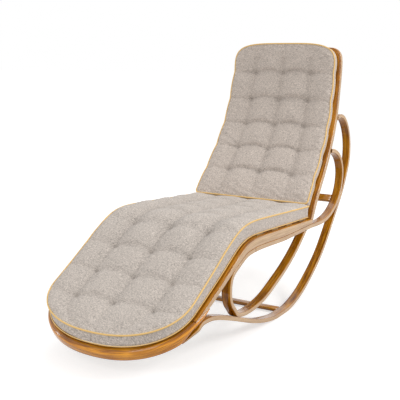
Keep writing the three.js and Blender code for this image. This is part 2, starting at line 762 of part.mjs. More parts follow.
for (const [name, side] of sides) {
  const rail = `seat_rail_${name}`;
  const rocker = `rocker_${name}`;
  const loop = `loop_${name}`;
  const curl = `curl_${name}`;
  const screws = {
    scarf_front: {
      place: scarfFront.place, into: down(scarfFront), length: scarfScrewLength,
      shift: scarfScrewShift, holds: [rail, 'foot_hoop'],
    },
    scarf_rear: {
      place: scarfRear.place, into: down(scarfRear), length: scarfScrewLength,
      shift: -scarfScrewShift, holds: [rail, 'foot_hoop'],
    },
    tail: {
      place: shifted(tailSeat, -rockerHalf).place, into: tailSeat.normal,
      length: rockerThickness + jointGap + screwBite, shift: -scarfScrewShift, holds: [rocker, 'foot_hoop'],
    },
    knee: {
      place: kneeJoint.place, into: down(kneeJoint),
      length: kneeJoint.thickness + jointGap + screwBite, holds: [rail, loop],
    },
    curl_front: {
      place: curlJoint.place, into: down(curlJoint),
      length: curlJoint.thickness + jointGap + screwBite, holds: [rail, curl],
    },
    loop_rear: {
      place: loopJoint.place, into: down(loopJoint),
      length: loopJoint.thickness + curlThickness + jointGap * 2 + shallowBite,
      holds: [rail, curl, loop],
    },
    loop_foot: {
      place: shifted(loopSeat, loopThickness / 2).place, into: down(loopSeat),
      length: loopThickness + jointGap + screwBite, holds: [loop, rocker],
    },
    curl_side: {
      place: shifted(curlSeat, curlThickness / 2).place, into: down(curlSeat),
      length: curlThickness + jointGap + screwBite, shift: curlScrewShift, holds: [curl, rocker],
    },
    post_foot: {
      place: shifted(postFoot, -curlThickness / 2).place, into: post.tangent,
      length: curlThickness + endBite, sink: obliqueSink, holds: [curl, 'back_hoop'],
    },
    rocker_top: {
      place: nearestOn(fineBackLine, rockerEnd.place).place, into: backwards(rockerEnd),
      length: backRodThickness + endBite, sink: obliqueSink, holds: ['back_hoop', rocker],
    },
    curl_top: {
      place: nearestOn(fineBackLine, curlEnd.place).place, into: backwards(curlEnd),
      length: backRodThickness + endBite, sink: obliqueSink, holds: ['back_hoop', curl],
    },
  };
  for (const [title, values] of Object.entries(screws)) {
    addScrew({ name: `screw_${title}_${name}`, side, ...values });
  }
}

// Dowels join the bars to the strips beside them
for (const [title, strip, station] of [
  ['lower', 'rocker', shifted(onFlat, lowerBarRise / 2)], ['upper', 'curl', upperBarStation]]) {
  for (const [name, side] of sides) {
    const axis = new THREE.Vector3(side, 0, 0);
    const inner = sideFace(station.place.y) - stripWidth;
    const start = inSpace(side * (inner - dowelLength / 2), station.place);
    addPiece(`${title}_dowel_${name}`, turnedBody(rod(dowelRadius, 0, dowelLength), start, axis), wood);
    addCut([`${title}_cross_bar`, `${strip}_${name}`], turnedBody(rod(
      dowelRadius + dowelClearance, -dowelClearance, dowelLength + dowelClearance), start, axis));
  }
}

// Pegs that the cushion ties hook over, on the rear of the back posts
for (const [name, side] of sides) {
  const above = nearestOn(fineBackLine, curlEnd.place);
  const station = nearestOn(
    fineBackLine, above.place.clone().addScaledVector(above.tangent, pegRise));
  const x = side * (backHalfWidth(station.knot) - backRodWidth / 2);
  const start = inSpace(x, shifted(station, -backRodThickness).place);
  const axis = direction(station.normal);
  addPiece(`tie_peg_${name}`, turnedBody(
    stepped(pegRadius, -pegLength, -jointGap, pegNeckRadius, pegBite), start, axis), brass);
  addCut(['back_hoop'], turnedBody(
    rod(pegNeckRadius + jointGap, -pegLength, pegBite + jointGap), start, axis));
}

// Webbing: each band lies on both rails, or on both posts, and follows three stations
function addWebbing(name, stations, halfSpanAt) {
  const half = Math.min(...stations.map(halfSpanAt));
  const top = jointGap + webbingThickness;
  addPiece(name, ringsGeometry(stations.map((station) => {
    const corner = (x, height) => inSpace(x, shifted(station, height).place);
    return [corner(half, jointGap), corner(half, top), corner(-half, top), corner(-half, jointGap)];
  })), webbing);
}
const firstOnSeat = seatLine.findIndex((s) => s.place.x > lengthPlace(seatWebbingShare));
for (let i = 0; i < seatWebbings; i++) {
  const start = firstOnSeat + i * stationsPerWebbing;
  addWebbing(`seat_webbing_${i + 1}`, seatLine.slice(start, start + 3),
    (s) => footFace(s.place.x) - stripWidth + webbingLap);
}
const firstOnBack = backLine.findIndex((s) => s.place.y > seatHeight + webbingWidth);
for (let i = 0; i < backWebbings; i++) {
  const start = firstOnBack + i * stationsPerWebbing;
  addWebbing(`back_webbing_${i + 1}`, backLine.slice(start, start + 3),
    (s) => backHalfWidth(s.knot) - backRodWidth + webbingLap);
}

// A tufted cushion on a line. Each ring has thirteen points on top, a drawn-in point in each side
// and three points below. The top may lean towards the rear at its front end.
function cushionGeometry({
  knots, at, halfWidthAt, thicknessAt, leanAt, crown, draw, rows, tuftXAt, depth,
}) {
  const dent = (distance, radius) => Math.exp(-((2 * distance / radius) ** 2));
  const rings = knots.map((knot) => {
    const half = halfWidthAt(knot);
    const thickness = thicknessAt(knot);
    const tuftX = Math.min(tuftXAt(knot), tuftEdgeShare * half);
    const right = [
      ...columnShares.map((share) => tuftX * share),
      ...rimShares.map((share) => THREE.MathUtils.lerp(tuftX, half, share)),
    ];
    const offRow = Math.min(...rows.map((row) => Math.abs(row - knot)));
    const point = (x, height) => {
      const station = at(knot + leanAt(knot) * (height / thickness));
      return inSpace(x, shifted(station, cushionBase + height).place);
    };
    const topPoint = (x) => {
      const inside = Math.min(half - Math.abs(x), knot - knots[0], knots.at(-1) - knot);
      const rolled = 1 - (1 - Math.min(1, inside / edgeRoll)) ** 2;
      const offColumn = Math.min(...[-tuftX, 0, tuftX].map((column) => Math.abs(column - x)));
      const tuft = depth * dent(Math.hypot(offRow, offColumn), tuftRadius);
      const crease = creaseDepth * dent(offRow, creaseRadius);
      return point(x, thickness + rolled * (crown - Math.max(tuft, crease)));
    };
    return [
      ...right.slice(1).reverse().map((x) => topPoint(-x)),
      ...right.map(topPoint),
      point(half - draw, thickness / 2), point(half, 0), point(0, 0), point(-half, 0),
      point(draw - half, thickness / 2),
    ];
  });
  return ringsGeometry(rings);
}

// Knots of a cushion: its first end, its rows of tufts with the swells about them and its last end
function cushionKnots(starts, rows, pitch, ends) {
  const margin = tuftRadius / 4;
  const swells = [rows[0] - pitch, ...rows].flatMap((row) => rowShares.map((share) => row + share * pitch));
  return [...starts, ...swells.filter((k) => k > starts.at(-1) + margin && k < ends[0] - margin), ...ends];
}
const rowsFrom = (first, pitch, count) => Array.from({ length: count }, (_, i) => first + i * pitch);

// Half width of a rounded end, as a share of the full half width; forward is 1 at the very end
const endShare = (forward, power) => (1 - Math.max(0, forward) ** power) ** (1 / power);

const cushionBase = webbingThickness + jointGap + cushionClearance;
const seatCushionEnd = seatEnd.knot - seatRearGap;
const seatThicknessAt = (knot) => {
  const kneeward = THREE.MathUtils.lerp(
    seatFrontThickness, seatKneeThickness, between(seatFrontCurve, seatKneeStart, knot));
  return THREE.MathUtils.lerp(kneeward, seatRearThickness, between(seatKneeEnd, seatCushionEnd, knot));
};
const seatRows = rowsFrom(seatFirstTuft, seatTuftPitch, seatTuftRows);
addPiece('seat_cushion', cushionGeometry({
  knots: cushionKnots(
    seatFrontShares.map((share) => share * seatFrontCurve), seatRows, seatTuftPitch, [seatCushionEnd]),
  rows: seatRows,
  at: seatAt,
  halfWidthAt: (knot) => (halfWidth - seatCushionInset) * endShare(1 - knot / seatFrontCurve, seatFrontPower),
  tuftXAt: () => seatTuftSpacing,
  thicknessAt: seatThicknessAt,
  leanAt: (knot) => seatFrontLean * Math.max(0, 1 - knot / seatFrontCurve),
  crown: seatCushionCrown,
  draw: seatSideDraw,
  depth: seatTuftDepth,
}), seatFabric);

// The back cushion stands on the rear of the seat cushion
const seatCorner = shifted(seatAt(seatCushionEnd), cushionBase + seatRearThickness).place;
const beside = nearestOn(fineBackLine, seatCorner);
const backCushionStart = beside.knot + backCushionLift
  + seatCorner.clone().sub(beside.place).dot(beside.tangent);
const backCushionEnd = backTop + backCushionOverhang;
const alongBack = (from, to, knot) => THREE.MathUtils.lerp(
  from, to, between(backCushionStart, backCushionEnd, knot));
const backRows = rowsFrom(backCushionStart + backFirstTuft, backTuftPitch, backTuftRows);
addPiece('back_cushion', cushionGeometry({
  knots: cushionKnots([backCushionStart], backRows, backTuftPitch,
    backTopShares.map((share) => backCushionEnd - share * backCushionTopCurve)),
  rows: backRows,
  at: backAt,
  halfWidthAt: (knot) => (halfWidth - alongBack(backCushionFootInset, backCushionTopInset, knot))
    * endShare(1 - (backCushionEnd - knot) / backCushionTopCurve, backTopPower),
  tuftXAt: (knot) => alongBack(backTuftFootSpacing, backTuftTopSpacing, knot),
  thicknessAt: () => backCushionThickness,
  leanAt: () => 0,
  crown: backCushionCrown,
  draw: backSideDraw,
  depth: backTuftDepth,
}), backFabric);

// Cut the holes and name every piece
const wasm = await Module();
wasm.setup();

function solidOf(geometry) {
  const merged = mergeVertices(geometry, mergeReach);
  return new wasm.Manifold(new wasm.Mesh({
    numProp: 3,
    vertProperties: merged.attributes.position.array,
    triVerts: new Uint32Array(merged.index.array),
  }));
}

function geometryOf(solid) {
  const mesh = solid.getMesh();
  const geometry = new THREE.BufferGeometry();
  geometry.setAttribute('position', new THREE.Float32BufferAttribute(mesh.vertProperties, mesh.numProp));
  geometry.setIndex([...mesh.triVerts]);
  return geometry;
}

const chaise = new THREE.Group();
for (const [name, { geometry, material }] of pieces) {
  const holes = cuts.get(name) ?? [];
  const solid = holes.reduce((left, hole) => left.subtract(solidOf(hole)), solidOf(geometry));
  const mesh = new THREE.Mesh(geometryOf(solid), material);
  mesh.name = name;
  chaise.add(mesh);
}

// The origin is the middle of the footprint, on the floor
const box = new THREE.Box3().setFromObject(chaise);
const middle = box.getCenter(new THREE.Vector3());
chaise.position.set(-middle.x, -middle.y, -box.min.z);
group.add(chaise);

export default group;
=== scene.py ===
import math

import bpy
import numpy as np
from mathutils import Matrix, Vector, kdtree, noise


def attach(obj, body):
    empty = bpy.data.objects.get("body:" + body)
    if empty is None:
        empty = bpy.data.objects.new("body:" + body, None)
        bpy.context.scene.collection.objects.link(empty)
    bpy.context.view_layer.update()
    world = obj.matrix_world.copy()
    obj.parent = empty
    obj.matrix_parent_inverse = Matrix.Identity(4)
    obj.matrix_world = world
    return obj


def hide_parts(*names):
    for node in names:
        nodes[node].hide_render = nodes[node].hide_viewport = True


# Rocking chaise: smooth bent wood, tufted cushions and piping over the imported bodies.
# Lengths in the pieces' dictionaries are millimetres, as in the part's source. The objects, the looks
# and the stage are in metres.
# A pair of shares is a place in the side view: along from the knee, and up by the seat's height and
# then by the back's.

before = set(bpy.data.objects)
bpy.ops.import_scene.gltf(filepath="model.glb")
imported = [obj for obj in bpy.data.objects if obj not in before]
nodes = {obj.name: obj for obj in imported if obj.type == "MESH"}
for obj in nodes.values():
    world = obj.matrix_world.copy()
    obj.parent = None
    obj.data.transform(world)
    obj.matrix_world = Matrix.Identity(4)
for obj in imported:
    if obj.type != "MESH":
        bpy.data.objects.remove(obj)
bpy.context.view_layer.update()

chair = dict(
    width=566, kneeToFront=595, kneeToRear=920, seatHeight=345, backRise=649, middle=163.963,
    stripWidth=33, gap=0.3, leanStart=300, leanBlend=120, leanSlope=0.072, footCurve=-0.647, footPower=2.24,
    grid=25, coarse=27, step=7, fine=4, curlStride=4, probe=1e-4, arris=2.2, corners=4, sliver=0.01,
)
rail = dict(  # places hold the share along and the thickness there, from the tip to the rear
    places=[(-0.714, 2.5), (-0.58, 17), (-0.336, 20), (-0.1, 31), (0.217, 31), (0.505, 18)],
    seatShares=[
        (-0.975, 0.271), (-0.664, 0.536), (-0.503, 0.674), (-0.358, 0.806), (-0.252, 0.907),
        (-0.166, 0.971), (-0.072, 0.997), (0.037, 0.994), (0.217, 0.965), (0.511, 0.918),
        (0.609, 0.902)],
)
rocker = dict(
    thickness=15, tailThickness=9, tipThickness=5, flat=0.22, flatLength=64,
    seat=-0.682, middle=-0.765, tip=-0.803, tipInset=11, insetFade=1.4,
    tailShares=[
        (-0.625, 0.444), (-0.571, 0.439), (-0.504, 0.416), (-0.42, 0.371), (-0.319, 0.309),
        (-0.202, 0.232), (-0.084, 0.157), (0.022, 0.094), (0.092, 0.051)],
    rearShares=[
        (0.326, 0.045), (0.424, 0.125), (0.522, 0.257), (0.62, 0.426), (0.707, 0.642),
        (0.804, 0.917), (0.88, 1.068), (0.939, 1.17), (0.975, 1.251), (0.99, 1.331),
        (0.987, 1.411), (0.963, 1.488), (0.924, 1.536), (0.883, 1.548), (0.838, 1.535)],
)
loop = dict(
    thickness=15, top=-0.3, end=-0.09, contact=-0.266,
    frontShares=[
        (-0.331, 0.725), (-0.348, 0.661), (-0.353, 0.586), (-0.348, 0.51), (-0.329, 0.441),
        (-0.296, 0.377)],
    rearShares=[
        (-0.168, 0.285), (-0.084, 0.283), (0, 0.296), (0.065, 0.33), (0.132, 0.391),
        (0.187, 0.446), (0.245, 0.51), (0.304, 0.588), (0.359, 0.675), (0.404, 0.758),
        (0.44, 0.832)],
)
curl = dict(
    thickness=16, contact=(0.835, 1),
    riseShares=[(0.594, 0.83), (0.663, 0.838), (0.722, 0.873), (0.782, 0.948)],
    topShares=[
        (0.852, 1.068), (0.873, 1.125), (0.883, 1.182), (0.876, 1.24), (0.851, 1.29),
        (0.813, 1.321), (0.779, 1.334), (0.744, 1.337)],
)
footHoop = dict(
    width=32, height=41, seatDepth=25, toe=2, toeEdge=0.5, full=-0.668, lensGap=4, edge=12.5,
    edgeLimit=2.2, turn=0.1, deepen=0.077, rings=97, corners=6,
)
backHoop = dict(
    footWidth=554, topWidth=490, width=30, thickness=24, corner=48, crown=5, edge=5.5,
    postRings=90, cornerRings=15, crownRings=25, corners=5,
    shares=[
        (0.494, 0.86), (0.572, 1.072), (0.66, 1.21), (0.747, 1.366), (0.813, 1.529),
        (0.853, 1.695), (0.882, 1.851), (0.892, 2.02)],
)
bars = dict(
    lowerDepth=32, lowerHeight=12, lowerRise=4.5, lowerShare=0.24, upperDepth=32, upperHeight=14,
    upperDrop=13, arris=2, rings=9,
)


def lengthPlace(share):
    return share * (chair["kneeToFront"] if share < 0 else chair["kneeToRear"])


def sidePlace(shares):
    length, height = shares
    z = min(height, 1) * chair["seatHeight"] + max(height - 1, 0) * chair["backRise"]
    return np.array([lengthPlace(length), z])


def clamp(value):
    return min(max(value, 0), 1)


def blendTo(a, b, share):
    return a + (b - a) * share


# Lines in the side view

class Line:  # a cubic spline in the side view, measured by chord length
    def __init__(self, points, start=None, end=None):  # start and end are slopes, if they are given
        self.points = np.array(points, float)
        gaps = np.linalg.norm(np.diff(self.points, axis=0), axis=1)
        self.knots = np.concatenate([[0], np.cumsum(gaps)])
        self.length = self.knots[-1]
        rise = np.diff(self.points, axis=0) / gaps[:, None]
        count = len(self.points)
        left, right = np.zeros((count, count)), np.zeros((count, 2))
        for i in range(1, count - 1):
            left[i, i - 1:i + 2] = gaps[i], 2 * (gaps[i - 1] + gaps[i]), gaps[i - 1]
            right[i] = 3 * (gaps[i] * rise[i - 1] + gaps[i - 1] * rise[i])
        left[0, :2], right[0] = ((2, 1), 3 * rise[0]) if start is None else ((1, 0), start)
        left[-1, -2:], right[-1] = ((1, 2), 3 * rise[-1]) if end is None else ((0, 1), end)
        self.slopes = np.linalg.solve(left, right)

    def placeAt(self, knot):
        knot = np.atleast_1d(knot).astype(float)
        i = np.clip(np.searchsorted(self.knots, knot, side="right") - 1, 0, len(self.points) - 2)
        width = (self.knots[i + 1] - self.knots[i])[:, None]
        t = (knot - self.knots[i])[:, None] / width
        a, b = self.points[i], self.points[i + 1]
        p = self.slopes[i] * width - (b - a)
        q = (b - a) - self.slopes[i + 1] * width
        return a + t * (b - a) + t * (1 - t) * (p * (1 - t) + q * t)

    def at(self, knot):
        reach = self.length * chair["probe"]
        ahead, behind = self.placeAt([min(self.length, knot + reach), max(0, knot - reach)])
        tangent = (ahead - behind) / np.linalg.norm(ahead - behind)
        return Station(self.placeAt(knot)[0], tangent, knot)

    def stations(self, step):
        count = max(2, round(self.length / step))
        return [self.at(self.length * i / count) for i in range(count + 1)]


class Station:  # a place on a side line, with its direction, and a strip's thickness and outer face
    def __init__(self, place, tangent, knot, thickness=0, outer=0):
        self.place, self.tangent, self.knot = np.array(place, float), np.array(tangent, float), knot
        self.normal = np.array([-self.tangent[1], self.tangent[0]])
        self.thickness, self.outer = thickness, outer

    def shifted(self, height, **changes):
        made = Station(self.place + self.normal * height, self.tangent, self.knot, self.thickness, self.outer)
        made.__dict__.update(changes)
        return made

    def turned(self):
        return Station(self.place, -self.tangent, self.knot, self.thickness, self.outer)


def nearestOn(stations, place):
    return min(stations, key=lambda s: np.linalg.norm(s.place - place))


def stationNear(stations, share):
    return min(stations, key=lambda s: abs(s.place[0] - lengthPlace(share)))


def sideFace(z):  # the strips' outer faces lean in above a height
    rise, half = z - chair["leanStart"], chair["width"] / 2
    blend, slope = chair["leanBlend"], chair["leanSlope"]
    if rise < 0:
        return half
    return half - (slope * rise * rise / (2 * blend) if rise < blend else slope * (rise - blend / 2))


def footFace(y):  # the outer face of the half-round foot
    start = chair["footCurve"] * chair["kneeToFront"]
    inward = clamp((y - start) / (-chair["kneeToFront"] - start))
    return chair["width"] / 2 * (1 - inward ** chair["footPower"]) ** (1 / chair["footPower"])


def railThickness(y):  # the rails are thinner towards their ends
    places = [lengthPlace(share) for share, _ in rail["places"]]
    return float(np.interp(y, places, [thickness for _, thickness in rail["places"]]))


gap = chair["gap"]
seatLine = Line([sidePlace(s) for s in rail["seatShares"]])
backLine = Line([sidePlace(s) for s in backHoop["shares"]])
seatGrid, fineSeat = seatLine.stations(chair["grid"]), seatLine.stations(chair["fine"])
fineBack = backLine.stations(chair["fine"])
(railTip, _), (railFull, fullThickness), *_, (railRear, _) = rail["places"]
railGrid = [s for s in seatGrid if lengthPlace(railTip) < s.place[0] < lengthPlace(railRear)]
seatEnd = min(fineSeat, key=lambda s: min(np.linalg.norm(s.place - b.place) for b in fineBack))
pastTop = backLine.placeAt(backLine.length)[0][1] - chair["seatHeight"] - chair["backRise"]
backTop = backLine.length - pastTop


def backHalfWidth(knot):
    return blendTo(backHoop["footWidth"], backHoop["topWidth"], knot / backLine.length) / 2


def railRun(first, last):  # stations along the rails' top, from one grid station to another
    count = max(1, round((last - first) / chair["step"]))
    run = [seatLine.at(first + (last - first) * i / count) for i in range(count + 1)]
    return [s.shifted(0, thickness=railThickness(s.place[0])) for s in run]


def asStrip(stations, thickness):  # with the lean of the side frames
    return [s.shifted(0, thickness=thickness, outer=sideFace(s.place[1])) for s in stations]


def layer(stations, thickness):  # the middle line of a strip that lies under another
    return [s.shifted(-(s.thickness + gap + thickness / 2)) for s in stations]


def planeAt(station, height):
    return station.shifted(height).place, station.normal


def facePlane(stations, place, height):  # the flat that a strip's face makes beside a place
    near = stations.index(nearestOn(stations, place))
    before, after = stations[max(0, near - 1)], stations[min(len(stations) - 1, near + 1)]
    along = after.shifted(height).place - before.shifted(height).place
    along /= np.linalg.norm(along)
    return stations[near].shifted(height).place, np.array([-along[1], along[0]])


def underFoot(share, depth):
    s = stationNear(fineSeat, share)
    return s.shifted(-depth, outer=footFace(s.place[0]))


# Side lines of the strips

def makeRocker():  # the tail under the foot hoop, then the run along the floor and up behind the back
    half, tipThickness = rocker["thickness"] / 2, rocker["tipThickness"]
    hoopMiddle = (footHoop["seatDepth"] + footHoop["height"] + rocker["tailThickness"]) / 2
    tip = underFoot(rocker["tip"], footHoop["height"] + gap + tipThickness / 2)
    middle = underFoot(rocker["middle"], hoopMiddle + footHoop["lensGap"])
    seat = underFoot(rocker["seat"], footHoop["seatDepth"] + gap + half)
    tail = Line([tip.place, middle.place, seat.place], tip.tangent, seat.tangent).stations(chair["step"])
    for i, s in enumerate(tail):
        share = i / (len(tail) - 1)
        s.thickness = blendTo(tipThickness, rocker["thickness"], share)
        s.outer = blendTo(tip.outer - rocker["tipInset"], seat.outer, min(1, share * rocker["insetFade"]))
    flat, reach, level = lengthPlace(rocker["flat"]), rocker["flatLength"] / 2, np.array([1.0, 0])
    tailPlaces = [seat.place, *map(sidePlace, rocker["tailShares"]), (flat - reach, half)]
    front = Line(tailPlaces, seat.tangent, level)
    rear = Line([(flat + reach, half), *map(sidePlace, rocker["rearShares"])], level)
    coarseFront, coarseRear = front.stations(chair["coarse"]), rear.stations(chair["coarse"])
    run = asStrip(front.stations(chair["step"]) + rear.stations(chair["step"]), rocker["thickness"])
    return tail[:-1] + run, coarseFront, coarseRear


def makeLoop(coarseFront):  # under the rail at the knee, down to the rocker and back up under the seat
    thickness, step = loop["thickness"], chair["step"]
    first = next(s for s in railGrid if s.place[0] > lengthPlace(loop["top"]))
    last = next(s for s in railGrid if s.place[0] > lengthPlace(loop["end"]))
    top = [s.turned() for s in reversed(layer(railRun(first.knot, last.knot), thickness))]
    seat = stationNear(coarseFront, loop["contact"]).shifted(rocker["thickness"] / 2 + gap + thickness / 2)
    turn = top[-1]
    front = Line([turn.place, *map(sidePlace, loop["frontShares"]), seat.place], turn.tangent, seat.tangent)
    rear = Line([seat.place, *map(sidePlace, loop["rearShares"])], seat.tangent)
    run = top[:-1] + front.stations(step)[:-1] + rear.stations(step)
    return asStrip(run, thickness), last


def makeCurl(coarseRear, first):  # under the rail behind the knee, up to the rocker and round to the post
    thickness, step = curl["thickness"], chair["step"]
    bottom = layer(railRun(first.knot, railGrid[-1].knot), thickness)
    turn = bottom[-1]
    seat = nearestOn(coarseRear, sidePlace(curl["contact"])).shifted(
        rocker["thickness"] / 2 + gap + thickness / 2)
    rise = Line([turn.place, *map(sidePlace, curl["riseShares"]), seat.place], turn.tangent, seat.tangent)
    top = Line([seat.place, *map(sidePlace, curl["topShares"])], seat.tangent)
    run = bottom[:-1] + rise.stations(step)[:-1] + top.stations(step)
    return asStrip(run, thickness), seat


# Sweeps along the lines

def inSpace(x, place):  # in metres and in the frame, from millimetres in the side view
    return Vector((x, place[0] - chair["middle"], place[1])) / 1000


def roundedSection(width, top, bottom, radius, corners):  # points round a rectangle, (across, up)
    radius = min(radius, width / 2 - chair["sliver"], (top - bottom) / 2 - chair["sliver"])
    right, high, low = width / 2 - radius, top - radius, bottom + radius
    points = []
    for x, y, turn in (right, high, 0), (-right, high, 90), (-right, low, 180), (right, low, 270):
        for i in range(corners + 1):
            angle = math.radians(turn + 90 * i / corners)
            points.append((x + radius * math.cos(angle), y + radius * math.sin(angle)))
    return points


def seedOf(name):  # a number from each name, for a grain of its own
    return sum((i + 3) * ord(letter) for i, letter in enumerate(name)) % 97


def ringsMesh(name, rings, along, closed=False):  # a sweep that stores where each point lies on it
    size = len(rings[0])
    verts = [p for ring in rings for p in ring]
    faces = []
    for i in range(len(rings) - (0 if closed else 1)):
        for j in range(size):
            a, b = i * size + j, i * size + (j + 1) % size
            faces.append((a, b, (b + size) % len(verts), (a + size) % len(verts)))
    if not closed:
        faces.append(tuple(reversed(range(size))))
        faces.append(tuple(range(len(verts) - size, len(verts))))
    mesh = bpy.data.meshes.new(name)
    mesh.from_pydata(verts, [], faces)
    mesh.update()
    volume = sum(f.center.dot(f.normal) * f.area for f in mesh.polygons)
    if volume < 0:
        mesh.flip_normals()
    grain = mesh.attributes.new("grain", "FLOAT_VECTOR", "POINT")
    values = np.full((len(verts), 3), float(seedOf(name)))
    for i, ring in enumerate(rings):
        around = 0.0
        for j, p in enumerate(ring):
            if j:
                around += (p - ring[j - 1]).length
            values[i * size + j, :2] = along[i] / 1000, around
    grain.data.foreach_set("vector", values.ravel())
    mesh.polygons.foreach_set("use_smooth", [True] * len(mesh.polygons))
    obj = bpy.data.objects.new(name, mesh)
    bpy.context.scene.collection.objects.link(obj)
    return obj


def slideTo(ring, tangent, plane):  # an end ring, moved along the strip until it lies in a plane
    place, normal = plane
    origin, up = inSpace(0, place), Vector((0, *normal))
    along = Vector((0, *tangent))
    return [p - along * ((p - origin).dot(up) / along.dot(up)) for p in ring]


def stripPiece(name, stations, side, startPlane=None, endPlane=None):  # side is 1 right, -1 left
    rings, along, run = [], [], 0
    for i, s in enumerate(stations):
        if i:
            run += np.linalg.norm(s.place - stations[i - 1].place)
        half, centre = s.thickness / 2, s.outer - chair["stripWidth"] / 2
        section = roundedSection(chair["stripWidth"], half, -half, chair["arris"], chair["corners"])
        rings.append([inSpace(side * (centre + x), s.place + s.normal * y) for x, y in section])
        along.append(run)
    if startPlane:
        rings[0] = slideTo(rings[0], stations[0].tangent, startPlane)
    if endPlane:
        rings[-1] = slideTo(rings[-1], stations[-1].tangent, endPlane)
    return ringsMesh(name, rings, along)


def mirrored(ring):
    return [Vector((-p.x, p.y, p.z)) for p in ring]


def runAlong(rings):  # the length in millimetres from the first ring to each
    run = [0]
    for before, after in zip(rings, rings[1:]):
        step = (sum(after, Vector()) - sum(before, Vector())).length / len(after)
        run.append(run[-1] + step * 1000)
    return run


def barPiece(name, s, depth, thickness):
    reach = sideFace(s.place[1] + depth / 2) - chair["stripWidth"] - gap
    section = roundedSection(depth, thickness / 2, -thickness / 2, bars["arris"], chair["corners"])
    rings = [
        [inSpace(x, s.place + s.tangent * a + s.normal * b) for a, b in section]
        for x in np.linspace(-reach, reach, bars["rings"])]
    return ringsMesh(name, rings, runAlong(rings))


def hoopLeg():  # rings along the right leg, under the rail's scarf, from the rear to the front
    last = [s for s in railGrid if s.place[0] < lengthPlace(railFull)][-1]
    legs = list(reversed(railRun(railGrid[0].knot, last.knot)))
    toe, width = fullThickness + gap + footHoop["toe"], footHoop["width"]
    start, full, tip = lengthPlace(railFull), lengthPlace(footHoop["full"]), lengthPlace(railTip)
    rings = []
    for s in legs:
        grown = clamp((s.place[0] - start) / (tip - start))
        top = -(s.thickness + gap)
        low = -blendTo(toe, footHoop["seatDepth"], clamp((s.place[0] - start) / (full - start)))
        radius = min(footHoop["toeEdge"] + footHoop["edge"] * grown, (top - low) / footHoop["edgeLimit"])
        centre = footFace(s.place[0]) - width / 2
        section = roundedSection(width, top, low, radius, footHoop["corners"])
        rings.append([inSpace(centre + a, s.place + s.normal * b) for a, b in section])
    return rings, legs[-1]


def hoopFront(legEnd):  # rings round the foot, from the right leg to the left one
    width, depth = footHoop["width"], footHoop["seatDepth"]
    root = stationNear(fineSeat, chair["footCurve"])
    span, up = chair["width"] / 2 - width / 2, Vector((0, *root.normal))
    reach = (chair["kneeToFront"] + lengthPlace(chair["footCurve"])) / abs(root.tangent[0]) - width / 2
    along = 2 / chair["footPower"]
    across = 2 - along
    legReach = np.linalg.norm(legEnd.place - root.place) / reach
    turn = math.asin(legReach ** (1 / along)) + footHoop["turn"]
    rings = []
    for share in np.linspace(0, 1, footHoop["rings"]):
        angle = blendTo(turn, math.pi - turn, share)
        low = -blendTo(depth, footHoop["height"], clamp(min(share, 1 - share) / footHoop["deepen"]))
        sine, cosine = math.sin(angle), math.cos(angle)
        x = math.copysign(span * abs(cosine) ** along, cosine)
        centre = inSpace(x, root.place - root.tangent * reach * sine ** along)
        outward = Vector((math.copysign(abs(cosine) ** across, cosine) / span, 0, 0))
        outward -= Vector((0, *root.tangent)) * (sine ** across / reach)
        outward.normalize()
        section = roundedSection(width, 0, low, footHoop["edge"], footHoop["corners"])
        rings.append([centre + (outward * a + up * b) / 1000 for a, b in section])
    return rings


def footHoopPiece():
    side, legEnd = hoopLeg()
    rings = side + hoopFront(legEnd) + [mirrored(r) for r in reversed(side)]
    return ringsMesh("foot_hoop_bent", rings, runAlong(rings))


def backRing(knot, x, across, lift):  # across and lift give the way from the hoop's inside to its outside
    s = backLine.at(knot)
    outward = (Vector((across, 0, 0)) + Vector((0, *s.tangent)) * lift).normalized()
    normal = Vector((0, *s.normal))
    section = roundedSection(
        backHoop["width"], 0, -backHoop["thickness"], backHoop["edge"], backHoop["corners"])
    return [inSpace(x, s.place) + (outward * a + normal * b) / 1000 for a, b in section]


def backHoopPiece(footPlane):
    radius, crown = backHoop["corner"] - backHoop["width"] / 2, backHoop["crown"]
    topKnot = backTop - backHoop["width"] / 2 - crown

    def post(knot):
        return backHalfWidth(knot) - backHoop["width"] / 2

    rise = np.linspace(0, topKnot - radius, backHoop["postRings"])[:-1]
    half = [backRing(knot, post(knot), 1, 0) for knot in rise]
    half[0] = slideTo(half[0], backLine.at(0).tangent, footPlane)
    turnX = post(topKnot) - radius
    for angle in np.linspace(0, math.pi / 2, backHoop["cornerRings"]):
        sine, cosine = math.sin(angle), math.cos(angle)
        half.append(backRing(topKnot - radius + radius * sine, turnX + radius * cosine, cosine, sine))
    top = []
    for share in np.linspace(1, -1, backHoop["crownRings"])[1:-1]:
        top.append(backRing(topKnot + crown * (1 - share * share), turnX * share, 0, 1))
    rings = half + top + [mirrored(r) for r in reversed(half)]
    return ringsMesh("back_hoop_bent", rings, runAlong(rings))


# Shader nodes

class Wire:  # a shader socket that can be reckoned with
    def __init__(self, tree, socket):
        self.tree, self.socket = tree, socket

    def math(self, operation, *others):
        return self.tree.node("Math", dict(operation=operation), dict(enumerate((self, *others))))

    def __add__(self, other):
        return self.math("ADD", other)

    def __sub__(self, other):
        return self.math("SUBTRACT", other)

    def __rsub__(self, other):
        return (self * -1).math("ADD", other)

    def __mul__(self, other):
        return self.math("MULTIPLY", other)

    def __abs__(self):
        return self.math("ABSOLUTE")

    __radd__, __rmul__ = __add__, __mul__

    def within(self):  # kept between 0 and 1
        return self.math("MINIMUM", 1).math("MAXIMUM", 0)


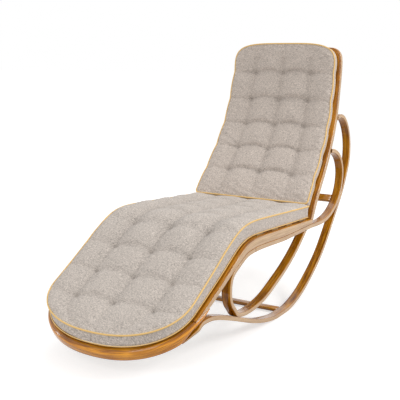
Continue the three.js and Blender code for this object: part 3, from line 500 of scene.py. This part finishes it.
class Nodes:  # the nodes of a material or of the world
    def __init__(self, owner):
        owner.use_nodes = True
        self.owner, self.nodes, self.links = owner, owner.node_tree.nodes, owner.node_tree.links

    def node(self, kind, settings, sockets, output=0):
        made = self.nodes.new("ShaderNode" + kind)
        for key, value in settings.items():
            if key == "stops":
                elements = made.color_ramp.elements
                while len(elements) < len(value):
                    elements.new(0.5)
                for element, (place, colour) in zip(elements, value):
                    element.position, element.color = place, (*colour, 1)
            else:
                setattr(made, key, value)
        self.fill(made, sockets)
        return Wire(self, made.outputs[output])

    def fill(self, node, sockets):
        for key, value in sockets.items():
            if isinstance(value, Wire):
                self.links.new(value.socket, node.inputs[key])
            else:
                node.inputs[key].default_value = value

    def surface(self, **sockets):
        self.fill(self.nodes["Principled BSDF"], {key.replace("_", " "): v for key, v in sockets.items()})

    def parts(self, vector):
        return [self.node("SeparateXYZ", {}, {0: vector}, i) for i in range(3)]

    def attribute(self, name):
        return self.parts(self.node("Attribute", dict(attribute_name=name), {}, "Vector"))

    def place(self):
        return self.parts(self.node("TexCoord", {}, {}, "Object"))

    def normal(self):
        return self.parts(self.node("NewGeometry", {}, {}, "Normal"))

    def vector(self, *axes):
        return self.node("CombineXYZ", {}, dict(enumerate(axes)))

    def noise(self, x, y, z, detail=3.0, roughness=0.5, distortion=0.0):
        return self.node("TexNoise", {}, {
            "Vector": self.vector(x, y, z), "Scale": 1.0, "Detail": detail, "Roughness": roughness,
            "Distortion": distortion})

    def ramp(self, factor, places, *colours):
        return self.node("ValToRGB", dict(stops=list(zip(places, colours))), {0: factor})

    def mix(self, factor, first, second, kind="MIX"):
        first, second = (v if isinstance(v, Wire) else (*v, 1) for v in (first, second))
        return self.node("Mix", dict(data_type="RGBA", blend_type=kind), {0: factor, 6: first, 7: second}, 2)

    def shaded(self, colour, shade):
        return self.mix(1.0, colour, self.vector(shade, shade, shade), "MULTIPLY")

    def bump(self, height, strength, distance):
        return self.node("Bump", {}, {"Height": height, "Strength": strength, "Distance": distance})


def linear(*levels):  # an sRGB colour of 0 to 255 as linear shares
    shares = [level / 255 for level in levels]
    return tuple(((s + 0.055) / 1.055) ** 2.4 if s > 0.04045 else s / 12.92 for s in shares)


def materialNodes(name):
    return Nodes(bpy.data.materials.new(name))


# Rates in the next dictionaries are per metre: along and round a strip, or across and along the cloth
wood = dict(
    dark=linear(100, 50, 0), mid=linear(176, 110, 8), light=linear(228, 160, 40), stops=(0.26, 0.5, 0.76),
    sideDark=linear(172, 132, 92), sideLight=linear(216, 182, 140), sideStops=(0.3, 0.7),
    sideFrom=0.72, sideBlend=6, broad=(5, 110), streak=(14, 620), cloud=(9, 20), cloudOffset=7,
    grainDepth=0.9, cloudDepth=0.5, roughness=0.2, roughSpread=0.12, sideRough=0.25, coat=0.45,
    coatRough=0.06, gloss=0.3, bump=(0.1, 0.0006),
    # round hoop: roundLift brightens its colour; topShade and underShade are painted shade on its upward and
    # downward faces
    roundLift=1.5, topFrom=0.35, underFrom=0.3, endBlend=2, topShade=0.6, underShade=0.3,
)
fabric = dict(
    seat=linear(198, 188, 179), back=linear(200, 188, 178), fine=640, long=150, slub=(330, 420), soft=14,
    # foldShade is painted shade: how much darker the cloth is painted in the tufts and creases
    warpShare=0.35, weaveDepth=2.9, mottle=0.8, softDepth=0.16, level=1.02, foldShade=0.26,
    slubBump=0.6, bump=(0.4, 0.0014), roughness=0.95, gloss=0.2, sheen=0.15, sheenRough=0.5,
)
cord = dict(
    light=linear(250, 208, 132), darkShare=0.8, twist=(2600, 900), fine=300, roughness=0.6,
    bump=(0.25, 0.0004),
)
band = dict(
    dark=linear(150, 136, 106), light=linear(206, 192, 160), stops=(0.2, 0.8), rib=2400, ribShare=0.4,
    thread=(300, 1500), roughness=0.85, bump=(0.4, 0.0006),
)
brass = dict(
    dark=linear(168, 128, 64), light=linear(205, 165, 95), stops=(0.3, 0.7), scratch=900,
    roughness=0.2, spread=0.3,
)
cream = dict(
    dark=linear(226, 206, 160), light=linear(246, 232, 196), stops=(0.3, 0.7), worn=300, roughness=0.3,
)
dowel = dict(dark=wood["mid"], light=wood["light"], stops=(0.3, 0.7), grain=(20, 600), roughness=0.4)


def makeWood(name, sided=True):  # sided strips show paler layers on their side faces
    m = materialNodes(name)
    along, around, own = m.attribute("grain")
    (broadLong, broadFine), (streakLong, streakFine) = wood["broad"], wood["streak"]
    cloudLong, cloudFine = wood["cloud"]
    broad = m.noise(along * broadLong, around * broadFine, own, 4, 0.6, 0.4)
    streak = m.noise(along * streakLong, around * streakFine, own, 3, 0.6, 0.2)
    cloud = m.noise(along * cloudLong, around * cloudFine, own + wood["cloudOffset"], 2)
    tone = (broad - 0.5) * wood["grainDepth"] + (streak - 0.5) * wood["grainDepth"]
    tone = tone + (cloud - 0.5) * wood["cloudDepth"] + 0.5
    colour = m.ramp(tone, wood["stops"], wood["dark"], wood["mid"], wood["light"])
    rough = tone * wood["roughSpread"] + (wood["roughness"] - wood["roughSpread"] / 2)
    x, _, up = m.normal()
    if sided:
        sideways = ((abs(x) - wood["sideFrom"]) * wood["sideBlend"]).within()
        layers = m.ramp(tone, wood["sideStops"], wood["sideDark"], wood["sideLight"])
        colour = m.mix(sideways, colour, layers)
        rough = sideways * wood["sideRough"] + rough
    else:
        # painted shade on the round hoop: roundLift brightens its colour, then the faces that look up under
        # the cushion and the faces that look down are darkened from that
        top = ((up - wood["topFrom"]) * wood["endBlend"]).within()
        under = ((up * -1 - wood["underFrom"]) * wood["endBlend"]).within()
        colour = m.shaded(colour, wood["roundLift"] - top * wood["topShade"] - under * wood["underShade"])
    m.surface(
        Base_Color=colour, Roughness=rough, Coat_Weight=wood["coat"], Coat_Roughness=wood["coatRough"],
        Specular_IOR_Level=wood["gloss"], Normal=m.bump(streak, *wood["bump"]))
    return m.owner


def makeFabric(name, colour):
    m = materialNodes(name)
    across, along, deep = m.attribute("cloth")
    fine, long, soft = fabric["fine"], fabric["long"], fabric["soft"]
    slubAcross, slubAlong = fabric["slub"]
    warp = m.noise(across * fine, along * long, deep * fine, 2, 0.6)
    weft = m.noise(across * long, along * fine, deep * long, 2, 0.6)
    slub = m.noise(across * slubAcross, along * slubAlong, deep * slubAcross, 2, 0.75)
    cloud = m.noise(across * soft, along * soft, deep * soft, 3, 0.6)
    # the fold attribute darkens the cloth where it is drawn in: painted shade in the tufts and creases
    fold = m.node("Attribute", dict(attribute_name="fold"), {}, "Fac")
    weave = warp * fabric["warpShare"] + weft * (1 - fabric["warpShare"])
    shade = (weave - 0.5) * fabric["weaveDepth"] + (slub - 0.5) * fabric["mottle"]
    shade = shade + (cloud - 0.5) * fabric["softDepth"] + fabric["level"] - fold * fabric["foldShade"]
    m.surface(
        Base_Color=m.shaded(colour, shade), Roughness=fabric["roughness"], Sheen_Weight=fabric["sheen"],
        Sheen_Roughness=fabric["sheenRough"], Specular_IOR_Level=fabric["gloss"],
        Normal=m.bump(weave + slub * fabric["slubBump"], *fabric["bump"]))
    return m.owner


def makePiping():
    m = materialNodes("piping")
    along, around, own = m.attribute("grain")
    twistAlong, twistAround = cord["twist"]
    twist = (along * twistAlong + around * twistAround).math("SINE") * 0.5 + 0.5
    fine = m.noise(along * cord["fine"], around * cord["fine"], own, 2)
    dark = tuple(level * cord["darkShare"] for level in cord["light"])
    m.surface(
        Base_Color=m.mix(fine, dark, cord["light"]), Roughness=cord["roughness"],
        Normal=m.bump(twist, *cord["bump"]))
    return m.owner


def makeWebbing():
    m = materialNodes("webbing")
    x, y, z = m.place()
    threadLong, threadFine = band["thread"]
    rib = ((y + z) * band["rib"]).math("SINE") * 0.5 + 0.5
    thread = m.noise(x * threadLong, y * threadFine, z * threadFine, 2)
    tone = thread * (1 - band["ribShare"]) + rib * band["ribShare"]
    m.surface(
        Base_Color=m.ramp(tone, band["stops"], band["dark"], band["light"]),
        Roughness=band["roughness"], Normal=m.bump(rib, *band["bump"]))
    return m.owner


def makeBrass():
    m = materialNodes("brass")
    scratch = m.noise(*[axis * brass["scratch"] for axis in m.place()], 3, 0.6)
    m.surface(
        Base_Color=m.ramp(scratch, brass["stops"], brass["dark"], brass["light"]), Metallic=1.0,
        Roughness=scratch * brass["spread"] + brass["roughness"])
    return m.owner


def makeFineWood():  # for the dowels, whose grain runs across the chair
    m = materialNodes("dowel")
    x, y, z = m.place()
    grainLong, grainFine = dowel["grain"]
    grain = m.noise(x * grainLong, y * grainFine, z * grainFine, 3, 0.6)
    m.surface(
        Base_Color=m.ramp(grain, dowel["stops"], dowel["dark"], dowel["light"]),
        Roughness=dowel["roughness"])
    return m.owner


def makeCream():  # the tie pegs' pale lacquer
    m = materialNodes("cream lacquer")
    worn = m.noise(*[axis * cream["worn"] for axis in m.place()])
    m.surface(
        Base_Color=m.ramp(worn, cream["stops"], cream["dark"], cream["light"]),
        Roughness=cream["roughness"])
    return m.owner


def dress(obj, material):
    obj.data.materials.clear()
    obj.data.materials.append(material)


print("scene: wood")
woodFaces, roundWood = makeWood("bent wood"), makeWood("bent wood, round", False)
rockerRun, coarseFront, coarseRear = makeRocker()
loopRun, firstCurl = makeLoop(coarseFront)
curlRun, curlSeat = makeCurl(coarseRear, firstCurl)
coarseCurl = curlRun[::chair["curlStride"]]


def postBack(stations):
    return planeAt(nearestOn(fineBack, stations[-1].place), -backHoop["thickness"] - gap)


loopStart = (loopRun[0].place + loopRun[0].tangent * gap, loopRun[0].tangent)
loopStop = facePlane(coarseCurl, loopRun[-1].place, -curl["thickness"] / 2 - gap)
railStop = planeAt(nearestOn(fineBack, seatEnd.place), gap)
railStrip = [
    s.shifted(-s.thickness / 2, outer=min(footFace(s.place[0]), sideFace(s.place[1])))
    for s in railRun(railGrid[0].knot, railGrid[-1].knot)]
made = {}
for name, side in (("right", 1), ("left", -1)):
    made[f"seat_rail_{name}"] = stripPiece(f"seat_rail_{name}_bent", railStrip, side, None, railStop)
    made[f"rocker_{name}"] = stripPiece(f"rocker_{name}_bent", rockerRun, side, None, postBack(rockerRun))
    made[f"loop_{name}"] = stripPiece(f"loop_{name}_bent", loopRun, side, loopStart, loopStop)
    made[f"curl_{name}"] = stripPiece(f"curl_{name}_bent", curlRun, side, None, postBack(curlRun))
made["back_hoop"] = backHoopPiece(facePlane(coarseCurl, backLine.at(0).place, curl["thickness"] / 2 + gap))
made["foot_hoop"] = footHoopPiece()
flat = Station((lengthPlace(bars["lowerShare"]), rocker["thickness"] / 2), (1, 0), 0)
made["lower_cross_bar"] = barPiece(
    "lower_bar", flat.shifted(bars["lowerRise"] + bars["lowerHeight"] / 2 - rocker["thickness"] / 2),
    bars["lowerDepth"], bars["lowerHeight"])
upperPlace = curlSeat.place - curlSeat.tangent * bars["upperDrop"]
made["upper_cross_bar"] = barPiece(
    "upper_bar", nearestOn(curlRun, upperPlace), bars["upperDepth"], bars["upperHeight"])
for node, piece in made.items():
    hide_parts(node)
    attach(piece, "frame")
    dress(piece, roundWood if node == "foot_hoop" else woodFaces)

print("scene: cushions")
rest = dict(base=3.4, seatGap=3, seamRise=4.5, overTop=10)  # where the cushions lie on the frame
seatRear = seatEnd.knot - rest["seatGap"]
seatCushion = dict(
    name="seat", line=seatLine, start=0, end=seatRear, crown=11, draw=2, lean=12.5, tuck=0,
    thickness=[(200, 40), (430, 54), (560, 54), (seatRear, 47)], halfWidths=(267, 267),
    front=(200, 2.25), rearCorner=12, scallop=0, firstRow=143, pitch=124, rowCount=8,
    columns=(151, 151), tuft=20, tuftReach=24, crease=5, creaseReach=12, columnCrease=11, columnReach=24,
    calmFront=0.62, calmRear=0, bow=14, dome=8, fan=0.9, gather=1.2, lump=1.8, across=107, roll=30,
)
seatCorner = seatLine.at(seatRear).shifted(rest["base"] + seatCushion["thickness"][-1][1]).place
besideSeat = nearestOn(fineBack, seatCorner)
backStart = besideSeat.knot + rest["seamRise"] + float((seatCorner - besideSeat.place) @ besideSeat.tangent)
backCushion = dict(
    name="back", line=backLine, start=backStart, end=backTop + rest["overTop"], crown=8, draw=2, lean=0,
    tuck=3, thickness=[(0, 38)], halfWidths=(259, 233), footCorner=12, rear=(110, 4), scallop=3.5,
    firstRow=127, pitch=122, rowCount=5, columns=(151, 125), tuft=16, tuftReach=17, crease=9,
    creaseReach=8, columnCrease=5.5, columnReach=15, calmFront=1, calmRear=1, bow=13, dome=5, fan=1.1,
    gather=1.7, lump=2.2, across=103, roll=26,
)
shell = dict(
    step=5, seamStep=2, leanReach=200, scallopReach=26, outlinePoints=6000, slopeReach=0.5,
    sideHeights=[0.86, 0.7, 0.55, 0.4, 0.26, 0.15, 0.1, 0.04],  # shares of the side, from the top down
    bottomPoints=15, footTuck=11, footTuckFade=16,
)
pipings = dict(top=(2.7, 0.2, -0.4), bottom=(1.8, 4, 0.6))  # radius, height from the seam, tuck
pipe = dict(step=6, sides=10, probe=5)
tufting = dict(
    edgeShare=0.62, sharp=2.4, bowPower=0.9, outerFade=60, outerPower=1.5, outerCalm=0.8,
    creaseBefore=1.25, creaseAfter=0.75, creaseRound=2, foldRound=3, foldEnd=1.3, tuftPower=1.25,
    wander=0.35, wanderSize=90, foldFirst=20, foldLast=0.6, foldBeyond=0.25,
    calmSpan=(330, 480), rearSpan=(4, 30), domePower=0.7, domeEdge=1.5,
    fanFolds=9, fanRowTurn=2.1, fanColumnTurn=0.05, fanPlace=30, fanReach=16, fanWander=3, fanSize=50,
    gatherRate=0.25, gatherSlant=0.3, gatherWander=5, gatherSize=60, gatherReach=45, gatherEdge=4,
    lumpSize=75, smallLump=0.45, smallLumpSize=24,
)


# Forms of the cushions

def thicknessAt(pad, knot):
    return np.interp(knot, *zip(*pad["thickness"]))


def rowsOf(pad):  # knots of the rows of tufts
    return pad["start"] + pad["firstRow"] + pad["pitch"] * np.arange(pad["rowCount"])


def leaned(pad, knot, rise):  # knot of a point whose plan knot is given; rise is 1 at the top
    return knot + pad["lean"] * np.maximum(0, 1 - knot / shell["leanReach"]) * rise


def rounded(half, corner, into):  # half width where a small corner of the plan rounds off
    return half - corner * (1 - np.sqrt(1 - np.clip(into, 0, 1) ** 2))


def swept(half, reach, power, into):  # half width where a whole end of the plan is one curve
    return half * (1 - np.clip(1 - into / reach, 0, 1) ** power) ** (1 / power)


def halfAt(pad, knot):  # half the width of the seam's outline
    share = (knot - pad["start"]) / (pad["end"] - pad["start"])
    half = pad["halfWidths"][0] + (pad["halfWidths"][1] - pad["halfWidths"][0]) * share
    offRow = np.min(np.abs(np.asarray(knot)[..., None] - rowsOf(pad)), axis=-1)
    half = half - pad["scallop"] * np.exp(-(offRow / shell["scallopReach"]) ** 2)
    if "front" in pad:
        half = swept(half, *pad["front"], knot - pad["start"])
    else:
        half = rounded(half, pad["footCorner"], 1 - (knot - pad["start"]) / pad["footCorner"])
    if "rear" in pad:
        return swept(half, *pad["rear"], pad["end"] - knot)
    return rounded(half, pad["rearCorner"], 1 - (pad["end"] - knot) / pad["rearCorner"])


def outlineOf(pad, step):  # points (across, knot) down the right side, from one end's middle to the other's
    turn = np.linspace(0, math.pi, shell["outlinePoints"])
    knot = pad["start"] + (pad["end"] - pad["start"]) * (1 - np.cos(turn)) / 2
    points = np.column_stack([halfAt(pad, knot), knot])
    points = np.vstack([(0, pad["start"]), points, (0, pad["end"])])
    run = np.concatenate([[0], np.cumsum(np.linalg.norm(np.diff(points, axis=0), axis=1))])
    even = np.linspace(0, run[-1], round(run[-1] / step) + 1)
    return np.column_stack([np.interp(even, run, points[:, i]) for i in range(2)])


def onLine(line, x, knot, height):  # places in metres of points given over a side line
    x, knot, height = (np.asarray(v, float) for v in (x, knot, height))
    reach = shell["slopeReach"]
    ahead = line.placeAt(np.minimum(knot + reach, line.length))
    behind = line.placeAt(np.maximum(knot - reach, 0))
    tangent = (ahead - behind) / np.linalg.norm(ahead - behind, axis=1)[:, None]
    place = line.placeAt(knot) + np.column_stack([-tangent[:, 1], tangent[:, 0]]) * height[:, None]
    return np.column_stack([x, place[:, 0] - chair["middle"], place[:, 1]]) / 1000


def insideOf(pad, x, knot):  # distance to the seam in plan
    half = outlineOf(pad, shell["seamStep"])
    edge = np.vstack([half, half * (-1, 1)])
    tree = kdtree.KDTree(len(edge))
    for i, place in enumerate(edge):
        tree.insert((*place, 0), i)
    tree.balance()
    return np.array([tree.find((a, b, 0))[2] for a, b in zip(x, knot)])


def lumps(x, knot, size, seed):  # smooth noise, about -1 to 1
    scale = 1 / size
    return np.array([noise.noise((a * scale, b * scale, seed)) for a, b in zip(x, knot)])


def tuftGrid(pad, x, knot):  # where each point lies among the tufts
    share = (knot - pad["start"]) / (pad["end"] - pad["start"])
    column = pad["columns"][0] + (pad["columns"][1] - pad["columns"][0]) * share
    half = np.maximum(halfAt(pad, np.clip(knot, pad["start"], pad["end"])), 1)
    column = np.minimum(column, tufting["edgeShare"] * half)
    u = x / column
    offRow = knot[:, None] - rowsOf(pad)
    row = np.argmin(np.abs(offRow), axis=1)
    straight = offRow[np.arange(len(x)), row]
    bow = pad["bow"] * np.abs(np.sin(math.pi * np.clip(u, -1, 1))) ** tufting["bowPower"]
    bowed = offRow - bow[:, None]
    near = bowed[np.arange(len(x)), np.argmin(np.abs(bowed), axis=1)]
    columns = np.round(np.clip(u, -1, 1)) * column
    return column, u, row, straight, near, columns


def flared(distance, soft, reach):  # 1 on a line, falling off beside it, with a rounded bottom
    return np.exp(-(np.sqrt(distance ** 2 + soft ** 2) - soft) / reach)


def pulledIn(pad, x, knot, grid):  # how deep tufts, row creases and column folds draw the cloth in
    t, rows = tufting, rowsOf(pad)
    column, u, _, straight, near, columns = grid
    outer = np.clip((np.abs(x) - column) / t["outerFade"], 0, 1)
    reach = pad["creaseReach"] * np.where(near > 0, t["creaseAfter"], t["creaseBefore"])
    crease = pad["crease"] * flared(near, t["creaseRound"], reach)
    crease *= 1 - outer ** t["outerPower"] * t["outerCalm"]
    crease *= 1 + t["wander"] * lumps(x, knot, t["wanderSize"], 3)
    calm = np.interp(knot, t["calmSpan"], (pad["calmFront"], 1))
    fold = pad["columnCrease"] * flared(x - columns, t["foldRound"], pad["columnReach"]) * calm
    fold *= np.abs(u) < t["foldEnd"]
    between = (knot > rows[0] - t["foldFirst"]) & (knot < rows[-1] + pad["pitch"] * t["foldLast"])
    fold *= np.where(between, 1, t["foldBeyond"])
    fold *= np.interp(knot, [rows[-1] + past for past in t["rearSpan"]], (1, pad["calmRear"]))
    distance = np.hypot(straight, x - columns) / pad["tuftReach"] / calm
    tuft = pad["tuft"] * calm ** 0.5 * np.exp(-distance ** t["tuftPower"])
    return (tuft ** t["sharp"] + crease ** t["sharp"] + fold ** t["sharp"]) ** (1 / t["sharp"])


def puffedOut(pad, x, knot, grid):  # the fields between the tufts, and the fan of small folds round each
    t = tufting
    _, u, row, straight, _, columns = grid
    across = np.abs(np.sin(math.pi * np.clip(u, -t["domeEdge"], t["domeEdge"])))
    along = np.abs(np.sin(math.pi * straight / pad["pitch"]))
    dome = pad["dome"] * (1 - (across * along) ** t["domePower"])
    turn = np.arctan2(straight, x - columns) * t["fanFolds"]
    turn = turn + row * t["fanRowTurn"] + columns * t["fanColumnTurn"]
    fan = pad["fan"] * np.sin(turn + t["fanWander"] * lumps(x, knot, t["fanSize"], 9))
    fan *= np.exp(-((np.hypot(straight, x - columns) - t["fanPlace"]) / t["fanReach"]) ** 2)
    lump = lumps(x, knot, t["lumpSize"], 1) + t["smallLump"] * lumps(x, knot, t["smallLumpSize"], 2)
    return pad["lump"] * lump + fan - dome


def edgeGather(pad, x, knot, inside):  # small folds that run in from the seam
    t = tufting
    turn = (knot + x * t["gatherSlant"]) * t["gatherRate"]
    turn += t["gatherWander"] * lumps(x, knot, t["gatherSize"], 5)
    fade = np.exp(-inside / t["gatherReach"]) * np.clip(inside / t["gatherEdge"], 0, 1)
    return pad["gather"] * np.sin(turn) * fade


def dents(pad, x, knot, inside):  # the top's height over its seam, and its fold as a share of a tuft
    grid = tuftGrid(pad, x, knot)
    deep = pulledIn(pad, x, knot, grid)
    seam = 1 - (1 - np.clip(inside / pad["roll"], 0, 1)) ** 2
    lift = seam * (pad["crown"] - deep + puffedOut(pad, x, knot, grid)) + edgeGather(pad, x, knot, inside)
    return lift, seam * deep / pad["tuft"]


def makeCushion(pad):  # rings across the cushion: the tufted top, then a side, the bottom and the other side
    right = outlineOf(pad, shell["step"])
    inward = np.gradient(right, axis=0)[:, ::-1] * (-1, 1)
    inward /= np.linalg.norm(inward, axis=1)[:, None]
    topShares, bottomShares = np.linspace(1, -1, pad["across"]), np.linspace(-1, 1, shell["bottomPoints"])
    heights, footTuck = np.array(shell["sideHeights"]), shell["footTuck"]
    tucks = pad["draw"] * np.sin(math.pi * heights) + footTuck * np.exp(-heights * shell["footTuckFade"])
    points = []
    for (x, knot), (inX, inKnot) in zip(right[1:-1], inward[1:-1]):
        side = [(x + inX * t, knot + inKnot * t, h) for h, t in zip(heights, tucks)]
        foot, footKnot = x - footTuck * np.sign(x), knot + inKnot * footTuck
        points += [(x * share, knot, 1) for share in topShares]
        points += [(-x, knot, h) for x, knot, h in side]
        points += [(foot * share, footKnot, 0) for share in bottomShares]
        points += reversed(side)
    x, plan, rise = np.array(points).T
    height = rest["base"] + rise * thicknessAt(pad, plan)
    lift, fold = dents(pad, x, plan, insideOf(pad, x, plan))
    height += (rise == 1) * lift
    knot = leaned(pad, plan, rise)
    verts = onLine(pad["line"], x, knot, height)
    size = len(points) // (len(right) - 2)
    rings = [[Vector(v) for v in verts[i:i + size]] for i in range(0, len(verts), size)]
    cloth = ringsMesh(pad["name"] + "_cushion_cloth", rings, [0] * len(rings))
    pattern = cloth.data.attributes.new("cloth", "FLOAT_VECTOR", "POINT")
    pattern.data.foreach_set("vector", (np.column_stack([x, knot, height]) / 1000).ravel())
    # the fold attribute is painted shade: it darkens the cloth's colour in the tufts and creases
    creaseShade = cloth.data.attributes.new("fold", "FLOAT", "POINT")
    creaseShade.data.foreach_set("value", (rise == 1) * fold)
    print("cushion", pad["name"], len(cloth.data.polygons), "faces")
    return cloth


def makePipe(pad, title):  # a cord round the side's top or bottom edge
    radius, height, tuck = pipings[title]
    tuck += pad["tuck"] if title == "bottom" else 0
    half = outlineOf(pad, pipe["step"])
    plan = np.vstack([half, half[-2:0:-1] * (-1, 1)])
    inward = (np.roll(plan, -1, axis=0) - np.roll(plan, 1, axis=0))[:, ::-1] * (-1, 1)
    plan = plan + tuck * inward / np.linalg.norm(inward, axis=1)[:, None]
    rise, knot = np.full(len(plan), rest["base"] + height), plan[:, 1]
    if title == "top":
        rise, knot = rise + thicknessAt(pad, knot), leaned(pad, knot, 1)
    centre, above = (onLine(pad["line"], plan[:, 0], knot, rise + more) for more in (0, pipe["probe"]))
    tangent = np.roll(centre, -1, axis=0) - np.roll(centre, 1, axis=0)
    turns = np.linspace(0, 2 * math.pi, pipe["sides"] + 1)[:-1]
    rings, run, along = [], 0, []
    for i, (p, q, t) in enumerate(zip(centre, above, tangent)):
        up, forward = Vector(q - p).normalized(), Vector(t).normalized()
        out = forward.cross(up).normalized()
        rings.append([Vector(p) + (out * math.cos(a) + up * math.sin(a)) * (radius / 1000) for a in turns])
        along.append(run)
        run += float(np.linalg.norm(centre[(i + 1) % len(centre)] - p)) * 1000
    return ringsMesh(f"{pad['name']}_{title}_piping", rings, along, closed=True)


pipingWrap = makePiping()
for pad, node, slotName in (
        (seatCushion, "seat_cushion", "seat_fabric"), (backCushion, "back_cushion", "back_fabric")):
    cloth = makeCushion(pad)
    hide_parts(node)
    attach(cloth, node)
    dress(cloth, makeFabric(f"{pad['name']} linen", fabric[pad["name"]]))
    for title in pipings:
        trim = makePipe(pad, title)
        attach(trim, node)
        dress(trim, pipingWrap)

print("scene: small pieces")
smallLooks = dict(webbing=makeWebbing(), screw=makeBrass(), dowel=makeFineWood(), peg=makeCream())
for name, node in nodes.items():
    for kind, look in smallLooks.items():
        if kind in name:
            dress(node, look)

print("scene: stage")
studio = dict(
    floor=0.66, floorGlow=0.61, floorFar=0.08, farRate=0.2, farStart=0.1, floorShine=0.45,
    floorReach=30, floorDrop=0.0003, world=0.5,
)
reach = studio["floorReach"]
floor = bpy.data.meshes.new("floor")
floor.from_pydata(
    [(-reach, -reach, 0), (reach, -reach, 0), (reach, reach, 0), (-reach, reach, 0)], [], [(0, 1, 2, 3)])
floor = bpy.data.objects.new("floor", floor)
bpy.context.scene.collection.objects.link(floor)
floor.location.z = -studio["floorDrop"]
pale = materialNodes("floor")  # glows a little for the camera, more so far from the chair
floorX, floorY, _ = pale.place()
far = ((floorX * floorX + floorY * floorY) * studio["farRate"] - studio["farStart"]).within()
glow = pale.node("LightPath", {}, {}, "Is Camera Ray") * (far * studio["floorFar"] + studio["floorGlow"])
glow = glow + pale.node("LightPath", {}, {}, "Is Glossy Ray") * studio["floorShine"]
pale.surface(
    Base_Color=(*[studio["floor"]] * 3, 1), Roughness=1, Specular_IOR_Level=0, Emission_Strength=1,
    Emission_Color=pale.vector(glow, glow, glow))
dress(floor, pale.owner)

world = bpy.data.worlds.new("studio")
bpy.context.scene.world = world
sky = Nodes(world)
seen = sky.node("LightPath", {}, {}, "Is Camera Ray") + sky.node("LightPath", {}, {}, "Is Glossy Ray")
power = seen.within() * (1 - studio["world"]) + studio["world"]
sky.fill(sky.nodes["Background"], {"Color": (1, 1, 1, 1), "Strength": power})

# Soft boxes: places and sizes in metres, power in watts
lamps = {
    "key": dict(place=(3.3, 1.0, 2.4), aim=(0, 0, 0.4), size=(1.4, 1.4), watts=72),
    "overhead": dict(place=(-0.4, 0.9, 3.4), aim=(0, 0, 0.3), size=(2.2, 2.2), watts=20),
    "front": dict(place=(0.4, -3.5, 2.2), aim=(0, 0.4, 0.6), size=(2, 1.4), watts=34),
    "strip": dict(place=(-2.8, -1.7, 0.8), aim=(0, -0.6, 0.1), size=(0.25, 1.4), watts=9),
    "low strip": dict(place=(-1.5, -3.4, 0.5), aim=(0, -0.6, 0.15), size=(1.6, 0.16), watts=2.5),
}


def softLight(name, place, aim, size, watts):
    data = bpy.data.lights.new(name, "AREA")
    data.shape, data.size, data.size_y, data.energy = "RECTANGLE", *size, watts
    lamp = bpy.data.objects.new(name, data)
    bpy.context.scene.collection.objects.link(lamp)
    lamp.location = place
    lamp.rotation_euler = (Vector(aim) - Vector(place)).to_track_quat("-Z", "Y").to_euler()


for name, lamp in lamps.items():
    softLight(name, **lamp)

view = dict(place=(1.3909, -2.42797, 0.9644), yaw=30.836, pitch=11.066, lens=67.53, sensor=36, clip=100)
lens = bpy.data.cameras.new("camera")
lens.lens, lens.sensor_width, lens.clip_end = view["lens"], view["sensor"], view["clip"]
camera = bpy.data.objects.new("camera", lens)
bpy.context.scene.collection.objects.link(camera)
bpy.context.scene.camera = camera
camera.location = view["place"]
camera.rotation_euler = (math.radians(90 - view["pitch"]), 0, math.radians(view["yaw"]))
bpy.context.scene.view_settings.view_transform = "Standard"
